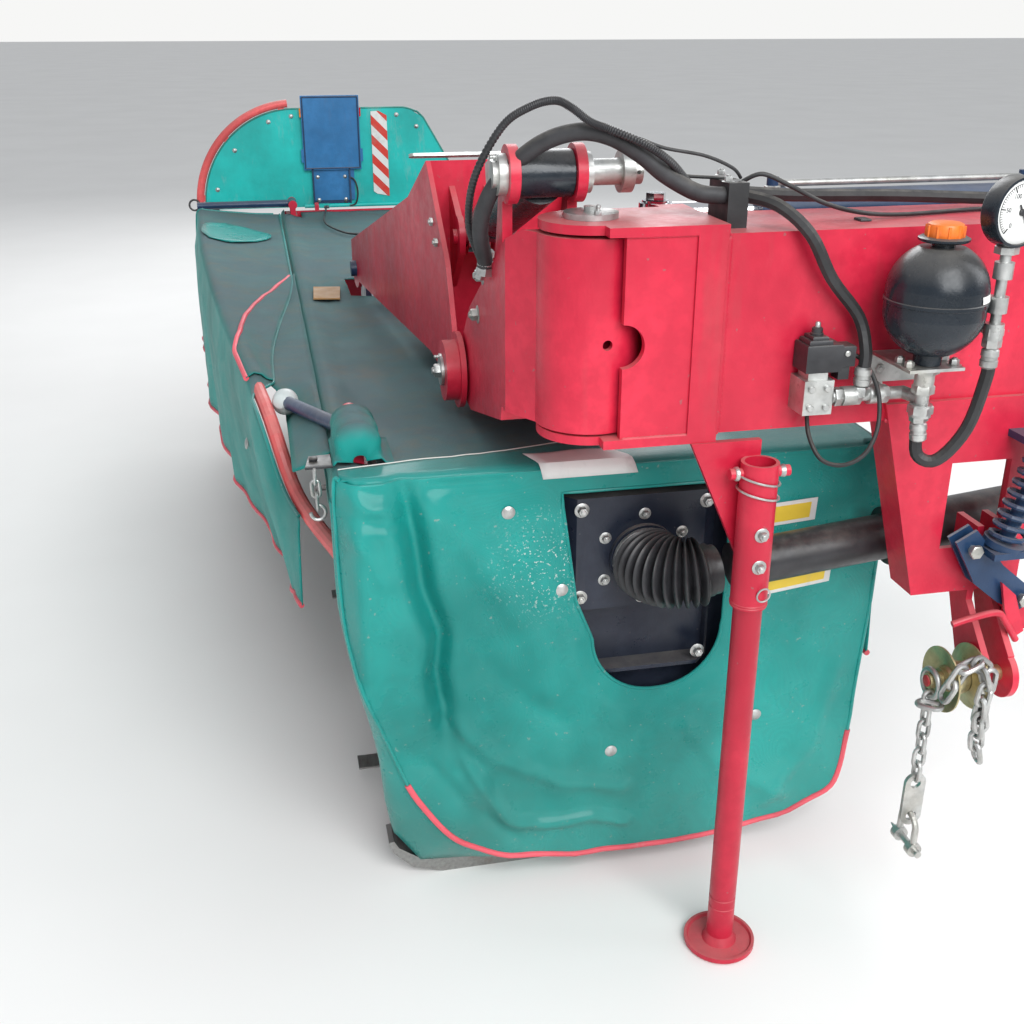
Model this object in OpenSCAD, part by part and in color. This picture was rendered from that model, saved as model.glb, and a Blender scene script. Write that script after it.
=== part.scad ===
// Rear-mounted disc mower conditioner, folded back for transport and parked on its skids and stand.
// Lengths are millimetres. The construction frame has the fold pivot at x = 0, y = 0 and the floor at z = 0.
// +x runs along the main beam to the three-point headstock, +y runs back along the mowing unit.

/* [Main beam] */
// Height of the beam box above the floor
beam_z = 1000; // [940:5:1060]
// Height of the beam box
beam_h = 308; // [280:1:340]
// Depth of the beam box, front to back
beam_depth = 200; // [180:1:220]
// Plate thickness of the beam box
beam_wall = 10; // [8:1:14]
// How far the beam's capped end reaches past the right lower link bracket
beam_over = 10; // [5:5:60]
// Length of the deeper fork box next to the fold pivot
fork_len = 183; // [160:1:240]
// Thickness of the two fork tongues and of the fork's front plate
fork_plate = 14; // [10:1:16]
// Diameter of the fold pivot pin
fold_pin_d = 60; // [50:1:70]

/* [Swing arm] */
// Distance from the fold pivot back to the lift axis
arm_reach = 465; // [450:1:500]
// Width of the arm
arm_w = 240; // [220:1:250]
// Plate thickness of the arm
arm_wall = 12; // [8:1:14]
// Height of the lift axis
lift_z = 963; // [950:1:980]
// Diameter of the lift axis pin
lift_pin_d = 50; // [40:1:56]

/* [Carrier] */
// Distance from the lift axis back to the float axis
carrier_reach = 1220; // [1200:5:1240]
// Plate thickness of the carrier
carrier_wall = 10; // [8:1:14]
// Inner width at the float axis
carrier_w_far = 440; // [420:5:480]
// Height of the carrier's highest corner
carrier_top = 1330; // [1300:5:1360]
// Height of the float axis
float_z = 930; // [925:1:940]

/* [Mowing unit] */
// Gap from the fold pivot back to the unit's inner side plate
unit_gap = 165; // [160:1:180]
// Length of the unit between the outer faces of its side plates
unit_len = 3040; // [3020:10:3100]
// Front edge of the hood, ahead of the fold pivot line
hood_front = 400; // [380:5:420]
// Rear edge of the hood, behind the fold pivot line
hood_rear = 620; // [600:5:660]
// Height of the hood's top sheet
hood_z = 880; // [870:1:885]
// Thickness of the canvas
canvas_t = 5; // [4:1:8]
// Number of cutting discs
disc_count = 7; // [7:1:7]
// Spacing of the disc axes
disc_pitch = 415; // [405:1:415]
// Diameter of a cutting disc
disc_d = 340; // [320:2:350]
// Diameter of the circle that the knife tips run on
knife_circle = 490; // [470:2:490]
// Diameter of the conditioner rotor's tine tips
rotor_d = 440; // [400:5:460]

/* [Guards] */
// Height of the folded-up outer guard's top edge
guard_top = 1300; // [1260:5:1340]
// Width of the outer guard board
guard_w = 1070; // [1040:5:1090]
// Diameter of the bent guard tubes
guard_tube_d = 30; // [26:1:34]
// How far the front guard reaches ahead of the hood at the far end
guard_reach = 325; // [310:5:340]

/* [Headstock] */
// Distance from the fold pivot to the headstock's centre plane
hitch_x = 1080; // [1060:5:1120]
// Distance between the lower link pins' shoulders
hitch_span = 825; // [815:1:870]
// Height of the lower link pins
hitch_z = 540; // [520:5:560]
// Height of the top link hole above the lower link pins
mast_h = 610; // [590:5:640]
// Diameter of the lower link pins
lower_pin_d = 28; // [28:1:28]
// Diameter of the top link hole
top_pin_d = 25.5; // [25:0.1:32.5]
// Diameter over the splines of the drive input shaft
spline_d = 34.9; // [34:0.1:45]

/* [Parking stand] */
// Distance from the fold pivot to the stand along the beam
stand_x = 247; // [200:1:300]
// Outer diameter of the stand's sleeve
sleeve_d = 60.3; // [58:0.1:64]
// Outer diameter of the stand's leg tube
leg_d = 48.3; // [46:0.1:50]
// Diameter of the stand's foot
foot_d = 130; // [110:1:150]

/* [Drive shaft] */
// Diameter of the drive shaft's outer guard tube
guard_outer_d = 100; // [96:1:104]
// Diameter of the drive shaft's inner guard tube
guard_inner_d = 83; // [80:1:84]

/* [Hydraulics] */
// Barrel diameter of the lift cylinder
lift_barrel_d = 84; // [76:1:90]
// Barrel diameter of the fold cylinder
fold_barrel_d = 70; // [60:1:76]
// Diameter of the pressure accumulator
accumulator_d = 148; // [130:1:152]
// Outer diameter of the hoses
hose_d = 20; // [16:1:22]

/* [Hidden] */
$fn = 48;

// Clearances: a turning pin in its bore, a soft or welded neighbour, and two moving bodies
pin_play = 0.05;
seat_gap = 0.3;
run_gap = 5;

// A length that is past every piece, for cuts that go right through
beyond = 4000;

// Heights of the fork, the arm head and the beam
beam_top = beam_z + beam_h;
fork_z0 = beam_z - fork_plate;
fork_z1 = beam_top + fork_plate;
tongue_r = 80;
head_r = 84;
arm_z0 = beam_z + run_gap;
arm_z1 = beam_top - run_gap;
half_depth = beam_depth / 2;
beam_len = hitch_x + hitch_span / 2 + beam_over;

// Places along the unit
unit_y0 = unit_gap;
unit_y1 = unit_gap + unit_len;
unit_mid = (unit_y0 + unit_y1) / 2;
lift_y = arm_reach;
float_y = arm_reach + carrier_reach;
side_plate = 8;

// Free length of a lower link pin, place and half width of its ball, width of its collar,
// front guard's outermost line, gauge's reach ahead of the beam, outer guard's hinge and board
pin_tip = 88;
ball_mid = 34;
ball_half = 22;
pin_collar = 8;
guard_x = -hood_front - guard_reach;
gauge_reach = 170;
hinge_y = unit_y1 + 22;
board_y = hinge_y + 19;

// Box of the whole machine in the construction frame, for the origin under its middle
x_min = guard_x + 11 - guard_tube_d / 2 - canvas_t;
x_max = hitch_x + hitch_span / 2 + pin_tip;
y_min = -half_depth - gauge_reach;
y_max = board_y + 3 + guard_tube_d / 2;

module place() {
    translate([-(x_min + x_max) / 2, -(y_min + y_max) / 2, 0]) children();
}

module block(lo, hi) {
    translate(lo) cube(hi - lo);
}

// Cylinders along x, y or between two points
module bar_x(x0, x1, y, z, d) {
    translate([x0, y, z]) rotate([0, 90, 0]) cylinder(h = x1 - x0, d = d);
}

module bar_y(y0, y1, x, z, d) {
    translate([x, y1, z]) rotate([90, 0, 0]) cylinder(h = y1 - y0, d = d);
}

module bar_z(z0, z1, x, y, d) {
    translate([x, y, z0]) cylinder(h = z1 - z0, d = d);
}

module rod_between(a, b, d) {
    v = b - a;
    len = norm(v);
    translate(a) rotate([0, acos(v[2] / len), atan2(v[1], v[0])]) cylinder(h = len, d = d);
}

// A flat outline in the y-z plane, given thickness along x
module side_profile(x0, x1) {
    translate([x0, 0, 0]) rotate([90, 0, 90]) linear_extrude(x1 - x0) children();
}

// A flat outline in the x-z plane, given thickness along y
module front_profile(y0, y1) {
    translate([0, y1, 0]) rotate([90, 0, 0]) linear_extrude(y1 - y0) children();
}

// Catmull-Rom curve through hand-chosen points, and a tube swept along it
function curve_point(a, b, c, d, t) =
    0.5 * (2 * b + (c - a) * t + (2 * a - 5 * b + 4 * c - d) * t * t + (3 * b - a - 3 * c + d) * t * t * t);
function smooth_path(p, steps) = concat(
    [for (i = [0:len(p) - 2]) for (k = [0:steps - 1])
        curve_point(p[max(i - 1, 0)], p[i], p[i + 1], p[min(i + 2, len(p) - 1)], k / steps)],
    [p[len(p) - 1]]);
function unit(v) = v / norm(v);
function tangents(p) = [for (i = [0:len(p) - 1]) unit(p[min(i + 1, len(p) - 1)] - p[max(i - 1, 0)])];
function across(t, n) = unit(n - (n * t) * t);
function normals(t, i, n) = i == len(t) ? [] : concat([across(t[i], n)], normals(t, i + 1, across(t[i], n)));

module swept_tube(path, d, sides = 8) {
    t = tangents(path);
    start = abs(t[0][2]) < 0.9 ? [0, 0, 1] : [1, 0, 0];
    n = normals(t, 0, start);
    rings = len(path);
    points = [for (i = [0:rings - 1]) for (k = [0:sides - 1])
        path[i] + d / 2 * (cos(360 * k / sides) * n[i] + sin(360 * k / sides) * cross(t[i], n[i]))];
    walls = [for (i = [0:rings - 2]) for (k = [0:sides - 1])
        [i * sides + k, (i + 1) * sides + k, (i + 1) * sides + (k + 1) % sides, i * sides + (k + 1) % sides]];
    first_cap = [for (k = [0:sides - 1]) k];
    last_cap = [for (k = [0:sides - 1]) rings * sides - 1 - k];
    polyhedron(points, concat(walls, [first_cap, last_cap]), convexity = 10);
}

// Hollow beam with a fork of two tongues; the fork's front plate has a half-round notch on its left edge
notch_x = 27;
notch_z = beam_z + 145;
notch_r = 34;
web_x = arm_w / 2 + 15;

module tongue(z) {
    difference() {
        union() {
            translate([0, 0, z]) cylinder(h = fork_plate, r = tongue_r);
            block([0, -half_depth - 4, z], [fork_len, tongue_r, z + fork_plate]);
            block([web_x, 0, z], [fork_len, half_depth + 4, z + fork_plate]);
        }
        bar_z(z - 1, z + fork_plate + 1, 0, 0, fold_pin_d + 2 * pin_play);
    }
}

module main_beam() {
    color("crimson") place() {
        tongue(fork_z0);
        tongue(beam_top);
        difference() {
            block([web_x, -half_depth, beam_z], [beam_len, half_depth, beam_top]);
            block([web_x + beam_wall, -half_depth + beam_wall, beam_z + beam_wall],
                [beam_len - beam_wall, half_depth - beam_wall, beam_top - beam_wall]);
        }
        difference() {
            block([notch_x, -half_depth, beam_z], [web_x + 1, -half_depth + fork_plate, beam_top]);
            bar_y(-half_depth - 1, -half_depth + fork_plate + 1, notch_x, notch_z, 2 * notch_r);
        }
        // Doubler over the joint of fork and beam
        block([web_x, -half_depth - 4, beam_z], [fork_len, -half_depth, beam_top]);
        // Ears for the top link
        for (side = [-1, 1]) difference() {
            side_profile(hitch_x + side * 35 - 10, hitch_x + side * 35 + 10)
                polygon([[-half_depth, top_z - 90], [-half_depth, top_z + 90], [top_y + 5, top_z + 38],
                    [top_y - 38, top_z + 20], [top_y - 38, top_z - 20], [top_y + 5, top_z - 38]]);
            bar_x(hitch_x - 60, hitch_x + 60, top_y, top_z, top_pin_d);
        }
        // Rear ears that carry the fold cylinder's base
        for (z = [fold_cyl_z - 32, fold_cyl_z + 20]) difference() {
            union() {
                block([fold_base[0] - 40, half_depth, z], [fold_base[0] + 40, fold_base[1], z + 12]);
                bar_z(z, z + 12, fold_base[0], fold_base[1], 80);
            }
            bar_z(z - 1, z + 13, fold_base[0], fold_base[1], 30 + 2 * pin_play);
        }
        bar_z(fold_cyl_z - 36, fold_cyl_z + 36, fold_base[0], fold_base[1], 30);
    }
}

module fold_pin() {
    color("silver") place() {
        bar_z(fork_z0 - 14, fork_z1 + 0.5, 0, 0, fold_pin_d);
        bar_z(fork_z1 + seat_gap, fork_z1 + 9, 0, 0, fold_pin_d + 24);
        bar_z(fork_z1 + 9, fork_z1 + 17, 0, 0, 22);
        bar_z(fork_z0 - 12, fork_z0 - seat_gap, 0, 0, fold_pin_d + 20);
    }
}

// Place of the top link hole and of the fold cylinder's two ends
top_z = hitch_z + mast_h;
top_y = -half_depth - 65;
fold_cyl_z = beam_top - 10;
fold_eye = [arm_w / 2 + 34, arm_w / 2 + 34];
fold_base = [900, fold_eye[1]];
fold_len = norm(fold_base - fold_eye);
fold_turn = atan2(fold_eye[1] - fold_base[1], fold_eye[0] - fold_base[0]);

// Headstock: two legs below the beam, a cross tube and the brackets of the lower link pins
leg_z = 680;
leg_plate = 10;
pin_y = -half_depth - 65;
left_pin_x = hitch_x - hitch_span / 2;
right_pin_x = hitch_x + hitch_span / 2;
bracket_t = 12;
bracket_w = 60;
leg_back = -half_depth + 60;

module link_bracket(x_out, side) {
    for (x = [x_out, x_out + side * (bracket_w - bracket_t)]) {
        lo = min(x, x + side * bracket_t);
        difference() {
            side_profile(lo, lo + bracket_t) {
                polygon([[-half_depth - leg_plate, leg_z + 120], [leg_back - 5, leg_z + 120],
                    [leg_back - 5, leg_z], [pin_y + 40, hitch_z - 34], [pin_y, hitch_z - 44],
                    [pin_y - 20, hitch_z + 42], [-half_depth - leg_plate, leg_z - 20]]);
                translate([pin_y, hitch_z]) circle(r = 44);
            }
            bar_x(lo - 1, lo + bracket_t + 1, pin_y, hitch_z, lower_pin_d + 2 * pin_play);
        }
    }
}

module headstock_frame() {
    y0 = -half_depth - leg_plate;
    color("crimson") place() {
        // Left leg: a plate with a window and a slanted flange on its outer edge
        difference() {
            front_profile(y0, y0 + leg_plate)
                polygon([[hitch_x - 614, beam_z + 30], [hitch_x - 320, beam_z + 30],
                    [hitch_x - 320, leg_z], [hitch_x - 521, leg_z]]);
            block([hitch_x - 480, y0 - 1, leg_z + 85], [hitch_x - 370, y0 + leg_plate + 1, leg_z + 240]);
        }
        front_profile(y0, leg_back)
            polygon([[hitch_x - 605, beam_z], [hitch_x - 595, beam_z], [hitch_x - 511, leg_z],
                [hitch_x - 521, leg_z]]);
        front_profile(y0, leg_back)
            polygon([[hitch_x - 521, leg_z], [hitch_x - 320, leg_z], [hitch_x - 320, leg_z + leg_plate],
                [hitch_x - 521, leg_z + leg_plate]]);
        block([hitch_x - 330, y0, leg_z], [hitch_x - 320, leg_back, beam_z]);
        // Right leg
        block([right_pin_x - bracket_w, y0, leg_z], [right_pin_x, y0 + leg_plate, beam_z + 30]);
        block([right_pin_x - bracket_w, y0, leg_z], [right_pin_x - bracket_w + 10, leg_back, beam_z]);
        block([right_pin_x - 10, y0, leg_z], [right_pin_x, leg_back, beam_z]);
        // Cross tube between the inner plates of the two brackets
        difference() {
            block([left_pin_x + bracket_w - 1, pin_y + 30, leg_z - 75], [right_pin_x - bracket_w + 1, pin_y + 80, leg_z - 25]);
            block([left_pin_x + 10, pin_y + 36, leg_z - 69], [right_pin_x - 10, pin_y + 74, leg_z - 31]);
        }
        link_bracket(left_pin_x, 1);
        link_bracket(right_pin_x, -1);
        // Hanger of the angle gearbox
        block([hitch_x - 80, 60, shaft_b[2] + 80 + seat_gap], [hitch_x + 60, 72, beam_z]);
        block([hitch_x - 80, -60, shaft_b[2] + 80 + seat_gap], [hitch_x + 60, 60.5, shaft_b[2] + 90]);
    }
}

// One lower link pin with its shoulder, ball, collar and two guide cones; side is the way that it points
// and taper is how much its free end narrows
module lower_link_pin(x, side, taper) {
    free = ball_mid + ball_half + pin_collar;
    translate([x, pin_y, hitch_z]) rotate([0, side * 90, 0]) {
        translate([0, 0, -bracket_w - 8]) cylinder(h = bracket_w + 8 + free, d = lower_pin_d);
        translate([0, 0, free - 1]) cylinder(h = pin_tip - free + 1, d1 = lower_pin_d, d2 = lower_pin_d - taper);
        translate([0, 0, -bracket_w - 8]) cylinder(h = 7.7, d = 44);
        translate([0, 0, seat_gap]) cylinder(h = ball_mid - ball_half, d = 46);
        translate([0, 0, ball_mid + ball_half - 1]) cylinder(h = pin_collar + 1, d = 40);
        translate([0, 0, ball_mid]) intersection() {
            sphere(d = 60);
            translate([0, 0, -ball_half]) cylinder(h = 2 * ball_half, d = 70);
        }
        for (flip = [0, 1]) mirror([0, 0, flip]) translate([0, 0, flip == 0 ? ball_mid : -ball_mid]) rotate_extrude()
            polygon([[24, 18], [27, 15], [58, 26], [58, 29], [28, 19]]);
    }
}

module lower_link_pins() {
    color("silver") place() {
        lower_link_pin(left_pin_x, -1, 1.6);
        lower_link_pin(right_pin_x, 1, 0);
    }
}

// Angle gearbox: its input faces the tractor, its output faces the mowing unit
shaft_a = [150, unit_y0 - 145, 690];
shaft_b = [960, 50, 760];

module drive_gearbox() {
    z = shaft_b[2];
    color("dimgray") place() {
        difference() {
            union() {
                block([hitch_x - 75, -70, z - 75], [hitch_x + 55, 150, z + 75]);
                bar_x(shaft_b[0] + 20, hitch_x - 74, shaft_b[1], z, 110);
                bar_y(-95, -69, hitch_x, z, 120);
                for (rib = [-50, 0, 40]) block([hitch_x + rib - 4, -60, z - 86], [hitch_x + rib + 4, 140, z + 80]);
            }
            for (x = [hitch_x - 75, hitch_x + 55], y = [-70, 150])
                translate([x, y, z - 100]) rotate([0, 0, 45]) cube([34, 34, 400], center = true);
        }
    }
}

module input_shaft() {
    z = shaft_b[2];
    splines = 6;
    groove = 2.4;
    spline_len = 44;
    color("lightgray") place() {
        difference() {
            bar_y(-170, -95, hitch_x, z, spline_d);
            for (i = [0:splines - 1]) translate([hitch_x, -171, z]) rotate([-90, 360 * i / splines, 0])
                translate([spline_d / 2 - groove, -1.8, 0]) cube([2 * groove, 3.6, spline_len]);
            translate([hitch_x, -150, z]) rotate([90, 0, 0]) rotate_extrude()
                translate([spline_d / 2 + 1, 0]) circle(d = 7);
        }
    }
}

// Coil spring on its rod between two navy plates, in front of the left leg's window
spring_turns = 9;
spring_wire = 9;
spring_d = 56;
spring_foot = [hitch_x - 388, -half_depth - 52, leg_z + 108];
spring_head = [hitch_x - 348, -half_depth - 68, beam_z - 44];

module relief_spring() {
    len = norm(spring_head - spring_foot);
    axis = (spring_head - spring_foot) / len;
    steps = 12;
    coil = [for (i = [0:spring_turns * steps])
        [spring_d / 2 * cos(360 * i / steps), spring_d / 2 * sin(360 * i / steps), len * i / (spring_turns * steps)]];
    color("midnightblue") place() {
        translate(spring_foot) rotate([0, acos(axis[2]), atan2(axis[1], axis[0])]) {
            swept_tube(coil, spring_wire, 6);
            translate([0, 0, -8]) cylinder(h = len + 16, d = 26);
            for (z = [-9, len - 3]) translate([0, 0, z]) cylinder(h = 12, d = spring_d + 14);
        }
        for (end = [[spring_foot, -18], [spring_head, 6]]) {
            p = end[0];
            block([p[0] - 38, p[1] - 34, p[2] + end[1]], [p[0] + 38, -half_depth - leg_plate, p[2] + end[1] + 12]);
        }
    }
}

// Chain hanging from a ring on the left lower pin, with a twisted plate and a shackle on its end
link_wire = 8;
link_inner = 30;
link_width = 27;
chain_links = 6;
chain_ring = 40;
chain_x = left_pin_x - pin_tip + 8;
ring_z = hitch_z + lower_pin_d / 2 + seat_gap - chain_ring / 2;
chain_top = ring_z - chain_ring / 2 + seat_gap - link_inner / 2;

module closed_tube(path, up, d, sides = 8) {
    rings = len(path);
    points = [for (i = [0:rings - 1]) for (k = [0:sides - 1])
        let (t = unit(path[(i + 1) % rings] - path[(i + rings - 1) % rings]))
        path[i] + d / 2 * (cos(360 * k / sides) * up + sin(360 * k / sides) * cross(t, up))];
    walls = [for (i = [0:rings - 1]) for (k = [0:sides - 1])
        [i * sides + k, (i + 1) % rings * sides + k, (i + 1) % rings * sides + (k + 1) % sides,
            i * sides + (k + 1) % sides]];
    polyhedron(points, walls, convexity = 10);
}

module chain_link() {
    r = (link_width - link_wire) / 2;
    half = (link_inner - link_width + 2 * link_wire) / 2;
    turn = [0:30:180];
    path = concat([for (a = turn) [r * cos(a), 0, half + r * sin(a)]],
        [for (a = turn) [-r * cos(a), 0, -half - r * sin(a)]]);
    closed_tube(path, [0, 1, 0], link_wire);
}

module check_chain() {
    pitch = link_inner - seat_gap;
    plate_z = chain_top - (chain_links - 1) * pitch - link_inner / 2 + seat_gap - 10;
    bow_r = 24;
    bow_z = plate_z - 70;
    color("lightsteelblue") place() {
        translate([chain_x, pin_y, ring_z]) rotate([0, 90, 0]) rotate_extrude()
            translate([chain_ring / 2 + 5, 0]) circle(d = 10);
        for (k = [0:chain_links - 1]) translate([chain_x, pin_y, chain_top - k * pitch])
            rotate([0, 0, k % 2 == 0 ? 0 : 90]) chain_link();
        // Plate with a hole at each end
        difference() {
            union() {
                block([chain_x - 20, pin_y - 3.5, plate_z - 70], [chain_x + 20, pin_y + 3.5, plate_z]);
                for (z = [plate_z, plate_z - 70]) bar_y(pin_y - 3.5, pin_y + 3.5, chain_x, z, 40);
            }
            for (z = [plate_z, plate_z - 70]) bar_y(pin_y - 9, pin_y + 9, chain_x, z, 20);
        }
        // Shackle with its pointed pin
        translate([chain_x, pin_y, bow_z]) rotate([0, 0, 90]) {
            swept_tube([for (a = [0:15:180]) [bow_r * cos(a), 0, bow_r * sin(a) - 20]], 12);
            for (side = [-1, 1]) translate([side * bow_r, 0, -58]) {
                cylinder(h = 38.5, d = 12);
                translate([-7, 0, 0]) rotate([0, 90, 0]) cylinder(h = 14, d = 28);
            }
            translate([-44, 0, -58]) rotate([0, 90, 0]) cylinder(h = 70, d = 13);
            translate([26, 0, -58]) rotate([0, 90, 0]) cylinder(h = 26, d1 = 13, d2 = 3);
        }
    }
}

// Hydraulic group in front of the beam
acc_x = 479;
acc_y = -half_depth - accumulator_d / 2 - 12;
acc_z = 1215;
gauge_x = 545;
gauge_y = y_min + 50;
gauge_z = 1346;
block_x = 325;

module accumulator() {
    r = accumulator_d / 2;
    color("black") place() translate([acc_x, acc_y, acc_z]) {
        intersection() {
            union() {
                translate([0, 0, 12]) sphere(r = r);
                translate([0, 0, -12]) sphere(r = r);
                translate([0, 0, -12]) cylinder(h = 24, r = r);
            }
            translate([0, 0, -r - 4]) cylinder(h = 2 * r + 8, r = r - 0.5);
        }
        translate([0, 0, r + 2]) cylinder(h = 16, d = 34);
        translate([0, 0, -r - 22]) cylinder(h = 24, d = 42);
    }
}

module accumulator_bracket() {
    z = acc_z - accumulator_d / 2 - 23;
    color("silver") place() {
        difference() {
            block([acc_x - 45, acc_y - 32, z - 5], [acc_x + 45, -half_depth - 4, z]);
            bar_z(z - 6, z + 1, acc_x, acc_y, 30);
        }
        block([acc_x - 45, -half_depth - 5, z - 50], [acc_x + 45, -half_depth, z]);
    }
}

module pressure_gauge() {
    color("gray") place() translate([gauge_x, gauge_y, gauge_z]) rotate([0, 90, 0]) {
        difference() {
            cylinder(h = 34, d = 100);
            translate([0, 0, 30]) cylinder(h = 5, d = 90);
        }
        translate([0, 0, 29.5]) cylinder(h = 1.5, d = 84);
        translate([0, 0, -4]) cylinder(h = 4.5, d = 60);
    }
}

module valve_block() {
    y0 = -half_depth - 52;
    color("silver") place() {
        block([block_x - 24, y0, 1036], [block_x + 24, -half_depth, 1090]);
        block([block_x - 16, y0 + 8, 1089], [block_x + 16, -half_depth - 8, 1100]);
        bar_z(1099, 1150, block_x, y0 + 26, 36);
        block([block_x - 22, y0 + 4, 1104], [block_x + 34, y0 + 48, 1142]);
        block([block_x + 33, y0 + 12, 1110], [block_x + 58, y0 + 40, 1136]);
    }
}

module hydraulic_fittings() {
    z0 = acc_z - accumulator_d / 2 - 28;
    y = acc_y;
    color("lightgray") place() {
        // Column below the accumulator
        bar_z(z0 - 36, z0, acc_x, y, 30);
        bar_z(z0 - 84, z0 - 35, acc_x, y, 22);
        bar_z(z0 - 78, z0 - 58, acc_x, y, 34);
        // Line from the valve block to that column
        bar_x(block_x + 24, acc_x - 8, y + 40, 1062, 20);
        for (x = [block_x + 40, block_x + 84]) bar_x(x, x + 22, y + 40, 1062, 30);
        rod_between([acc_x - 10, y + 42, 1062], [acc_x, y, 1062], 20);
        // Column of the gauge, with its foot on the beam's face
        bar_z(1150, gauge_z - 50 - seat_gap, gauge_x + 15, gauge_y, 16);
        for (z = [1160, 1200, 1250]) bar_z(z, z + 24, gauge_x + 15, gauge_y, 28);
        bar_y(gauge_y, -half_depth, gauge_x + 15, 1172, 18);
    }
}

// Hoses that lie along the beam, clamped behind the fork and at the valve
clamp_x = fork_len + 27;
fit_z = acc_z - accumulator_d / 2 - 112;
hose_runs = [
    [[clamp_x + 10, -40, beam_top + 46], [262, -86, beam_top + 36], [300, -half_depth - 24, beam_top - 2],
        [340, -half_depth - 26, beam_top - 68], [392, -half_depth - 24, beam_top - 128],
        [402, -half_depth - 40, 1130], [398, -half_depth - 46, 1094], [398, -half_depth - 46, 1072 + seat_gap]],
    [[clamp_x + 10, -5, beam_top + 46], [330, 10, beam_top + 36], [520, 40, beam_top + 26],
        [760, 40, beam_top + 14], [1000, 20, beam_top + 14], [1180, 0, beam_top + 11]],
    [[gauge_x + 15, gauge_y, 1150 - seat_gap], [gauge_x + 15, gauge_y, 1128], [gauge_x + 15, gauge_y, 1100], [gauge_x, gauge_y + 6, 1020],
        [gauge_x - 34, acc_y - 14, 966], [acc_x + 4, acc_y, 974], [acc_x, acc_y, fit_z - seat_gap]]
];

module beam_hoses() {
    color("black") place() {
        for (run = hose_runs) swept_tube(smooth_path(run, 5), hose_d);
        block([clamp_x - 16, -60, beam_top], [clamp_x + 16, 20, beam_top + 66]);
    }
}

// Parking stand: sleeve on a gusset below the beam, leg that slides in it
stand_y = -half_depth - sleeve_d / 2 - 5;
sleeve_top = beam_z - 40;
sleeve_len = 250;
stand_stroke = 350;

module stand_sleeve() {
    color("crimson") place() {
        difference() {
            bar_z(sleeve_top - sleeve_len, sleeve_top, stand_x, stand_y, sleeve_d);
            bar_z(sleeve_top - sleeve_len - 1, sleeve_top + 1, stand_x, stand_y, leg_d + 2 * 0.1);
        }
        front_profile(-half_depth - 8, -half_depth + 4)
            polygon([[stand_x - 105, fork_z0], [stand_x + 12, fork_z0], [stand_x + 12, sleeve_top - 180],
                [stand_x - 12, sleeve_top - 180]]);
        bar_x(stand_x - 50, stand_x - sleeve_d / 2 + 1, stand_y, sleeve_top - 18, 18);
        bar_x(stand_x + sleeve_d / 2 - 1, stand_x + 50, stand_y, sleeve_top - 18, 18);
    }
}

module stand_leg() {
    color("crimson") place() {
        difference() {
            union() {
                bar_z(8, sleeve_top - 30, stand_x, stand_y, leg_d);
                translate([stand_x, stand_y, 0]) rotate_extrude()
                    polygon([[0, 0], [foot_d / 2 - 4, 0], [foot_d / 2, 4], [foot_d / 2, 13],
                        [foot_d / 2 - 5, 13], [foot_d / 2 - 8, 8], [leg_d / 2 + 8, 9], [leg_d / 2, 24], [0, 24]]);
            }
            bar_z(30, sleeve_top, stand_x, stand_y, leg_d - 10);
            for (z = [90, 110]) translate([stand_x, stand_y, z]) rotate_extrude()
                translate([leg_d / 2 + 1, 0]) circle(d = 5);
        }
    }
}

// Fold cylinder, lying behind the beam; its rod's eye meets the lug on the swing arm
fold_barrel_len = 560;

// Frame of the fold cylinder: z runs from the base pin towards the eye, y stays upright
module along_fold() {
    translate([fold_base[0], fold_base[1], fold_cyl_z]) rotate([0, 0, fold_turn]) rotate([90, 0, 90]) children();
}

module fold_barrel() {
    d = fold_barrel_d;
    color("midnightblue") place() {
        difference() {
            union() {
                along_fold() translate([0, 0, 48]) cylinder(h = fold_barrel_len - 48, d = d);
                along_fold() translate([0, 0, 20]) cylinder(h = 30, d = 36);
                along_fold() translate([0, 0, fold_barrel_len - 40]) cylinder(h = 52, d = d + 8);
                bar_z(fold_cyl_z - 19, fold_cyl_z + 19, fold_base[0], fold_base[1], 64);
            }
            bar_z(fold_cyl_z - 40, fold_cyl_z + 40, fold_base[0], fold_base[1], 30 + 2 * pin_play);
            along_fold() translate([0, 0, 60]) cylinder(h = fold_barrel_len, d = 40 + 2 * pin_play);
        }
        along_fold() {
            for (z = [70, fold_barrel_len - 18]) translate([0, d / 2 - 3, z]) rotate([-90, 0, 0])
                cylinder(h = 24, d = 20);
            translate([0, d / 2 + 10, 70]) cylinder(h = fold_barrel_len - 88, d = 10);
        }
    }
}

// The rod's eye carries its own bolt and rides on top of the arm's single lug
module fold_rod() {
    color("lightgray") place() {
        along_fold() translate([0, 0, 110]) cylinder(h = fold_len - 130, d = 40);
        bar_z(fold_cyl_z - 20, fold_cyl_z + 20, fold_eye[0], fold_eye[1], 56);
        bar_z(fold_cyl_z + 19, fold_cyl_z + 24, fold_eye[0], fold_eye[1], 46);
        translate([fold_eye[0], fold_eye[1], fold_cyl_z + 23]) cylinder(h = 13, d = 34, $fn = 6);
    }
}

// Swing arm: a hollow box whose head turns between the tongues and whose tail holds the lift pin
lift_head = [65, 1380];
lift_eye = [640, 1190];
lift_cyl_x = -58;
lift_lug_t = 16;
lift_lugs = [lift_cyl_x - lift_barrel_d / 2 - 2 - lift_lug_t, lift_cyl_x + lift_barrel_d / 2 + 2];
arm_tail_r = 58;

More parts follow.
